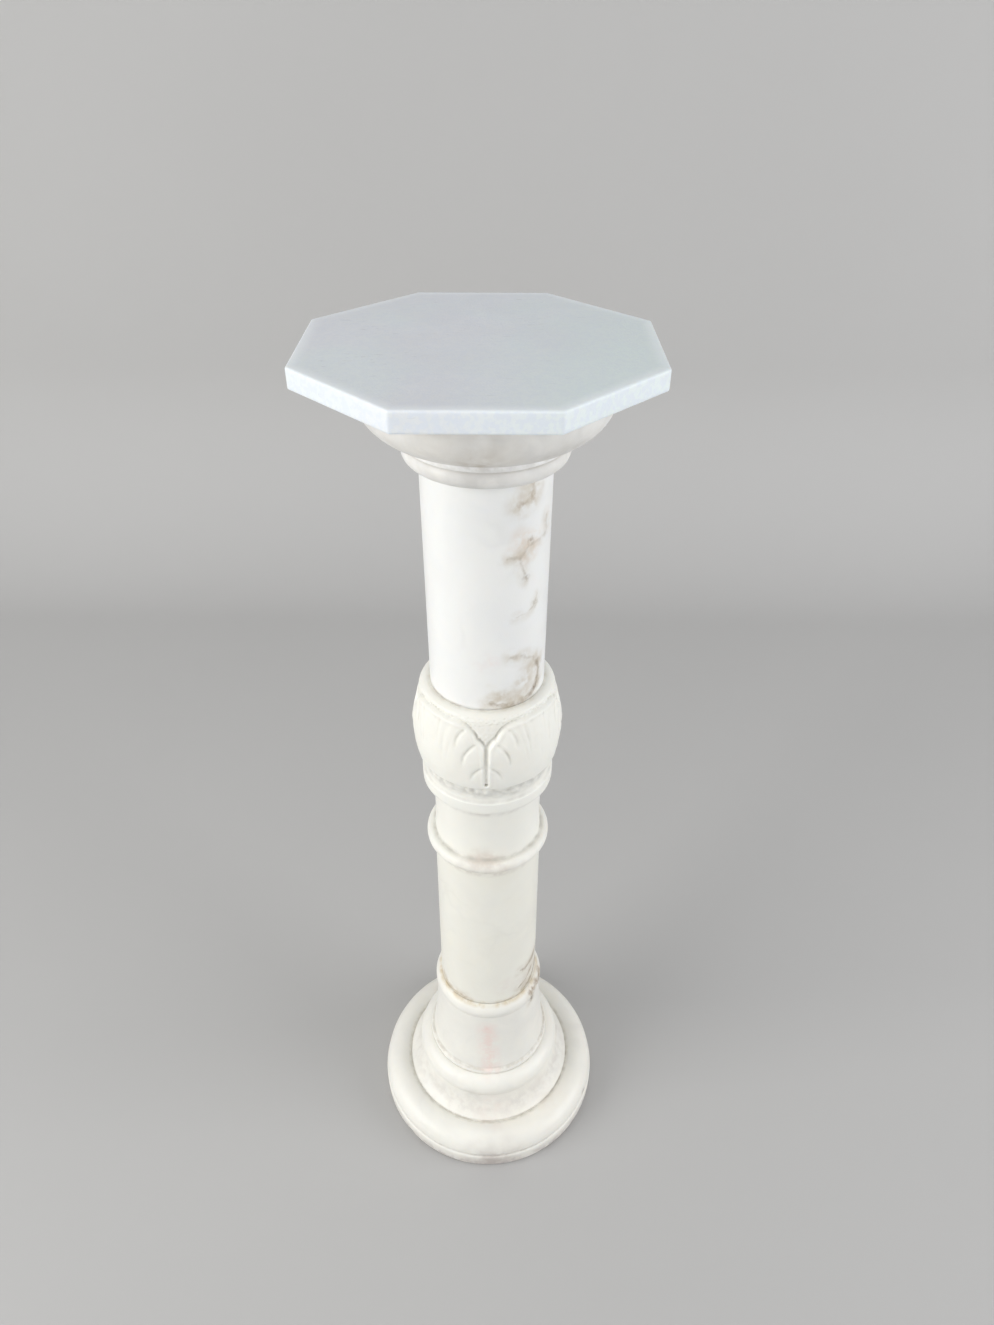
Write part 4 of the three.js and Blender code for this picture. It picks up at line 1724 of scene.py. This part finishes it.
def upper_shaft_finish() -> StoneFinish:
    """Gives the upper shaft's cold white marble with its brown veins.

    Returns:
        The finish.
    """
    brown = (0.3, 0.23, 0.16)
    beige = (0.6, 0.53, 0.42)
    faint = (0.48, 0.43, 0.35)
    return StoneFinish(
        slot=Slot.UPPER_SHAFT,
        base=(0.9, 0.905, 0.885),
        cloud=(0.85, 0.86, 0.855),
        warm=(0.9, 0.885, 0.83),
        warm_share=0.3,
        roughness=0.28,
        stains_and_painted_light=(
            Stain(((35.2, -42.3, 908.9), (37.8, -40.0, 901.0), (36.4, -41.2, 892.1), (26.9, -47.9, 889.3)),
                  2.6, 18.0, (0.42, 0.33, 0.23), 0.75, 0.9, beige),
            StainAndShadePatch((36.6, -41.0, 893.5), 7.0, (0.36, 0.27, 0.18), 0.8),
            StainAndShadePatch((33.5, -43.5, 898.0), 20.0, (0.66, 0.6, 0.5), 0.7),
            StainAndShadePatch((33.0, -44.0, 851.0), 26.0, (0.74, 0.6, 0.47), 0.8),
            StainAndShadePatch((36.5, -41.0, 855.0), 5.5, (0.38, 0.29, 0.22), 0.9),
            StainAndShadePatch((33.0, -43.5, 821.0), 5.5, (0.38, 0.33, 0.27), 0.8),
            StainAndShadePatch((41.5, -35.6, 790.5), 6.5, (0.45, 0.41, 0.33), 0.8),
            Stain(((48.9, -24.6, 868.7), (49.5, -23.2, 852.5), (42.6, -34.4, 851.1), (34.7, -42.3, 849.9),
                   (27.9, -47.1, 841.5), (16.9, -52.0, 843.4)), 1.8, 12.0, faint, 0.6, 0.6, beige),
            Stain(((27.9, -47.1, 841.5), (31.4, -44.8, 826.9), (33.3, -43.4, 818.3)),
                  1.5, 11.0, faint, 0.55, 0.5, beige),
            Stain(((43.3, -33.4, 799.4), (41.0, -36.2, 788.9), (33.2, -43.5, 784.5), (25.5, -48.4, 783.7)),
                  1.4, 10.0, faint, 0.5, 0.4, beige),
            Stain(((21.7, -49.8, 743.0), (33.3, -42.9, 739.5), (42.0, -34.2, 732.0), (45.6, -29.4, 723.0)),
                  2.6, 13.0, faint, 0.6, 0.7, beige),
            Stain(((45.6, -29.4, 724.0), (46.8, -27.5, 714.8), (46.0, -28.8, 701.7), (42.7, -33.5, 694.0),
                   (36.2, -40.4, 689.8), (26.0, -47.6, 688.8), (14.2, -52.4, 691.0), (5.0, -54.0, 694.0)),
                  3.4, 16.0, brown, 0.85, 0.8, beige),
            StainAndShadePatch((45.2, -30.2, 724.0), 5.6, (0.18, 0.13, 0.09), 1.0),
            StainAndShadePatch((43.6, -32.4, 697.0), 5.6, (0.2, 0.15, 0.1), 0.95),
            StainAndShadePatch((38.0, -39.0, 716.0), 24.0, beige, 0.85),
            StainAndShadePatch((14.0, -52.4, 698.0), 22.0, beige, 0.9),
            StainAndShadePatch((30.0, -45.4, 696.0), 20.0, beige, 0.8),
            StainAndShadePatch((3.0, -54.0, 740.0), 16.0, (0.86, 0.74, 0.71), 0.4),
            # Painted shade at the shaft's foot, in the crease on the ledge.
            RingDirtAndPaintedLight(54.3, 687.0, 3.5, (0.6, 0.54, 0.45), 0.45),
        ),
    )


def capital_finish() -> StoneFinish:
    """Gives the capital's greyer, mottled marble, with painted shade under its mouldings, a painted light
    ring on its fillet and painted highlights on its edges.
    """
    return StoneFinish(
        slot=Slot.CAPITAL,
        base=(0.83, 0.82, 0.79),
        cloud=(0.68, 0.67, 0.645),
        clouds=soft_clouds(26.0),
        warm=(0.84, 0.79, 0.69),
        roughness=0.4,
        # Painted highlight along the capital's edges, strong.
        edge_light=0.9,
        # Dirt and painted shade in the hollows.
        hollow_dirt_and_shade=(0.5, 0.47, 0.42),
        stains_and_painted_light=(
            StainAndShadePatch((-4.0, -82.0, 951.0), 40.0, (0.58, 0.54, 0.48), 0.95),
            StainAndShadePatch((-6.0, -82.0, 948.0), 24.0, (0.5, 0.44, 0.36), 0.95),
            StainAndShadePatch((52.0, -62.0, 948.0), 40.0, (0.6, 0.58, 0.54), 0.9),
            StainAndShadePatch((-52.0, -62.0, 952.0), 26.0, (0.72, 0.7, 0.66), 0.7),
            Stain(((-22.0, -75.0, 936.2), (-11.6, -79.2, 953.2), (3.5, -86.0, 961.4)), 2.6, 14.0,
                  (0.46, 0.38, 0.28), 0.6, 0.4),
            # Painted shade on the roll under the ovolo.
            StainAndShadePatch((-4.0, -62.0, 916.0), 46.0, (0.6, 0.59, 0.57), 0.9),
            # Painted light: a pale ring on the fillet, which lies in the ovolo's shade.
            RingDirtAndPaintedLight(68.0, 928.5, 6.0, (0.95, 0.95, 0.94), 1.0),
            # Painted shade in the crease between the roll and the fillet.
            RingDirtAndPaintedLight(66.6, 924.8, 1.8, (0.5, 0.47, 0.42), 0.5),
            # Painted shade under the ovolo, at the fillet's top.
            RingDirtAndPaintedLight(71.5, 934.5, 2.2, (0.5, 0.47, 0.42), 0.6),
            # Painted shade where the capital sits on the shaft.
            RingDirtAndPaintedLight(56.0, 910.0, 5.0, (0.6, 0.57, 0.52), 0.4),
        ),
    )


def slab_finish() -> SlabFinish:
    """Gives the slab's bluish, coarsely crystalline marble, with painted highlights on its edges."""
    return SlabFinish(
        slot=Slot.SLAB,
        base=(0.79, 0.815, 0.85),
        cloud=(0.73, 0.75, 0.78),
        warm=(0.78, 0.785, 0.79),
        roughness=0.36,
        grain=0.4,
        crystal_length=2.0,
        vein_share=0.0,
        # Painted highlight along the slab's edges.
        edge_light=0.8,
        stains_and_painted_light=(
            StainAndShadePatch((85.0, 10.0, 1000.0), 120.0, (0.74, 0.83, 0.8), 0.9),
            StainAndShadePatch((-100.0, -60.0, 1000.0), 70.0, (0.84, 0.87, 0.87), 0.5),
            StainAndShadePatch((60.0, -100.0, 1000.0), 60.0, (0.74, 0.82, 0.8), 0.5),
        ),
    )


def main() -> None:
    """Builds the studio and the column's pieces."""
    logging.basicConfig(level=logging.INFO, format="%(name)s: %(message)s")
    Studio().build()
    pieces: tuple[Piece, ...] = (
        Base(
            "base", base_finish(), seed=11,
            chips=(
                Chip((-51.0, -66.7, 82.0), 4.5, 1.6),
                Chip((127.0, -54.0, 27.0), 6.0, 1.2),
                Chip((-99.0, -96.0, 4.0), 6.0, 1.4),
                Chip((62.5, 124.0, 8.0), 5.0, 1.4),
            ),
        ),
        Shaft("lower_shaft", lower_shaft_finish(), foot=232.0, sides=240, step=3.0, seed=12),
        LeafKnop("leaf_knop", carved_finish(), foot=472.5, sides=464, seed=13, bend_reach=0.11),
        Shaft(
            "upper_shaft", upper_shaft_finish(), foot=686.5, sides=240, step=3.0, seed=14,
            foot_radius=54.1, top_radius=55.3, height=223.0,
        ),
        Capital("capital", capital_finish(), foot=909.5, seed=15),
        TopSlab("top_slab", slab_finish(), seed=16),
    )
    for piece in pieces:
        piece.build()


if __name__ == "__main__":
    main()
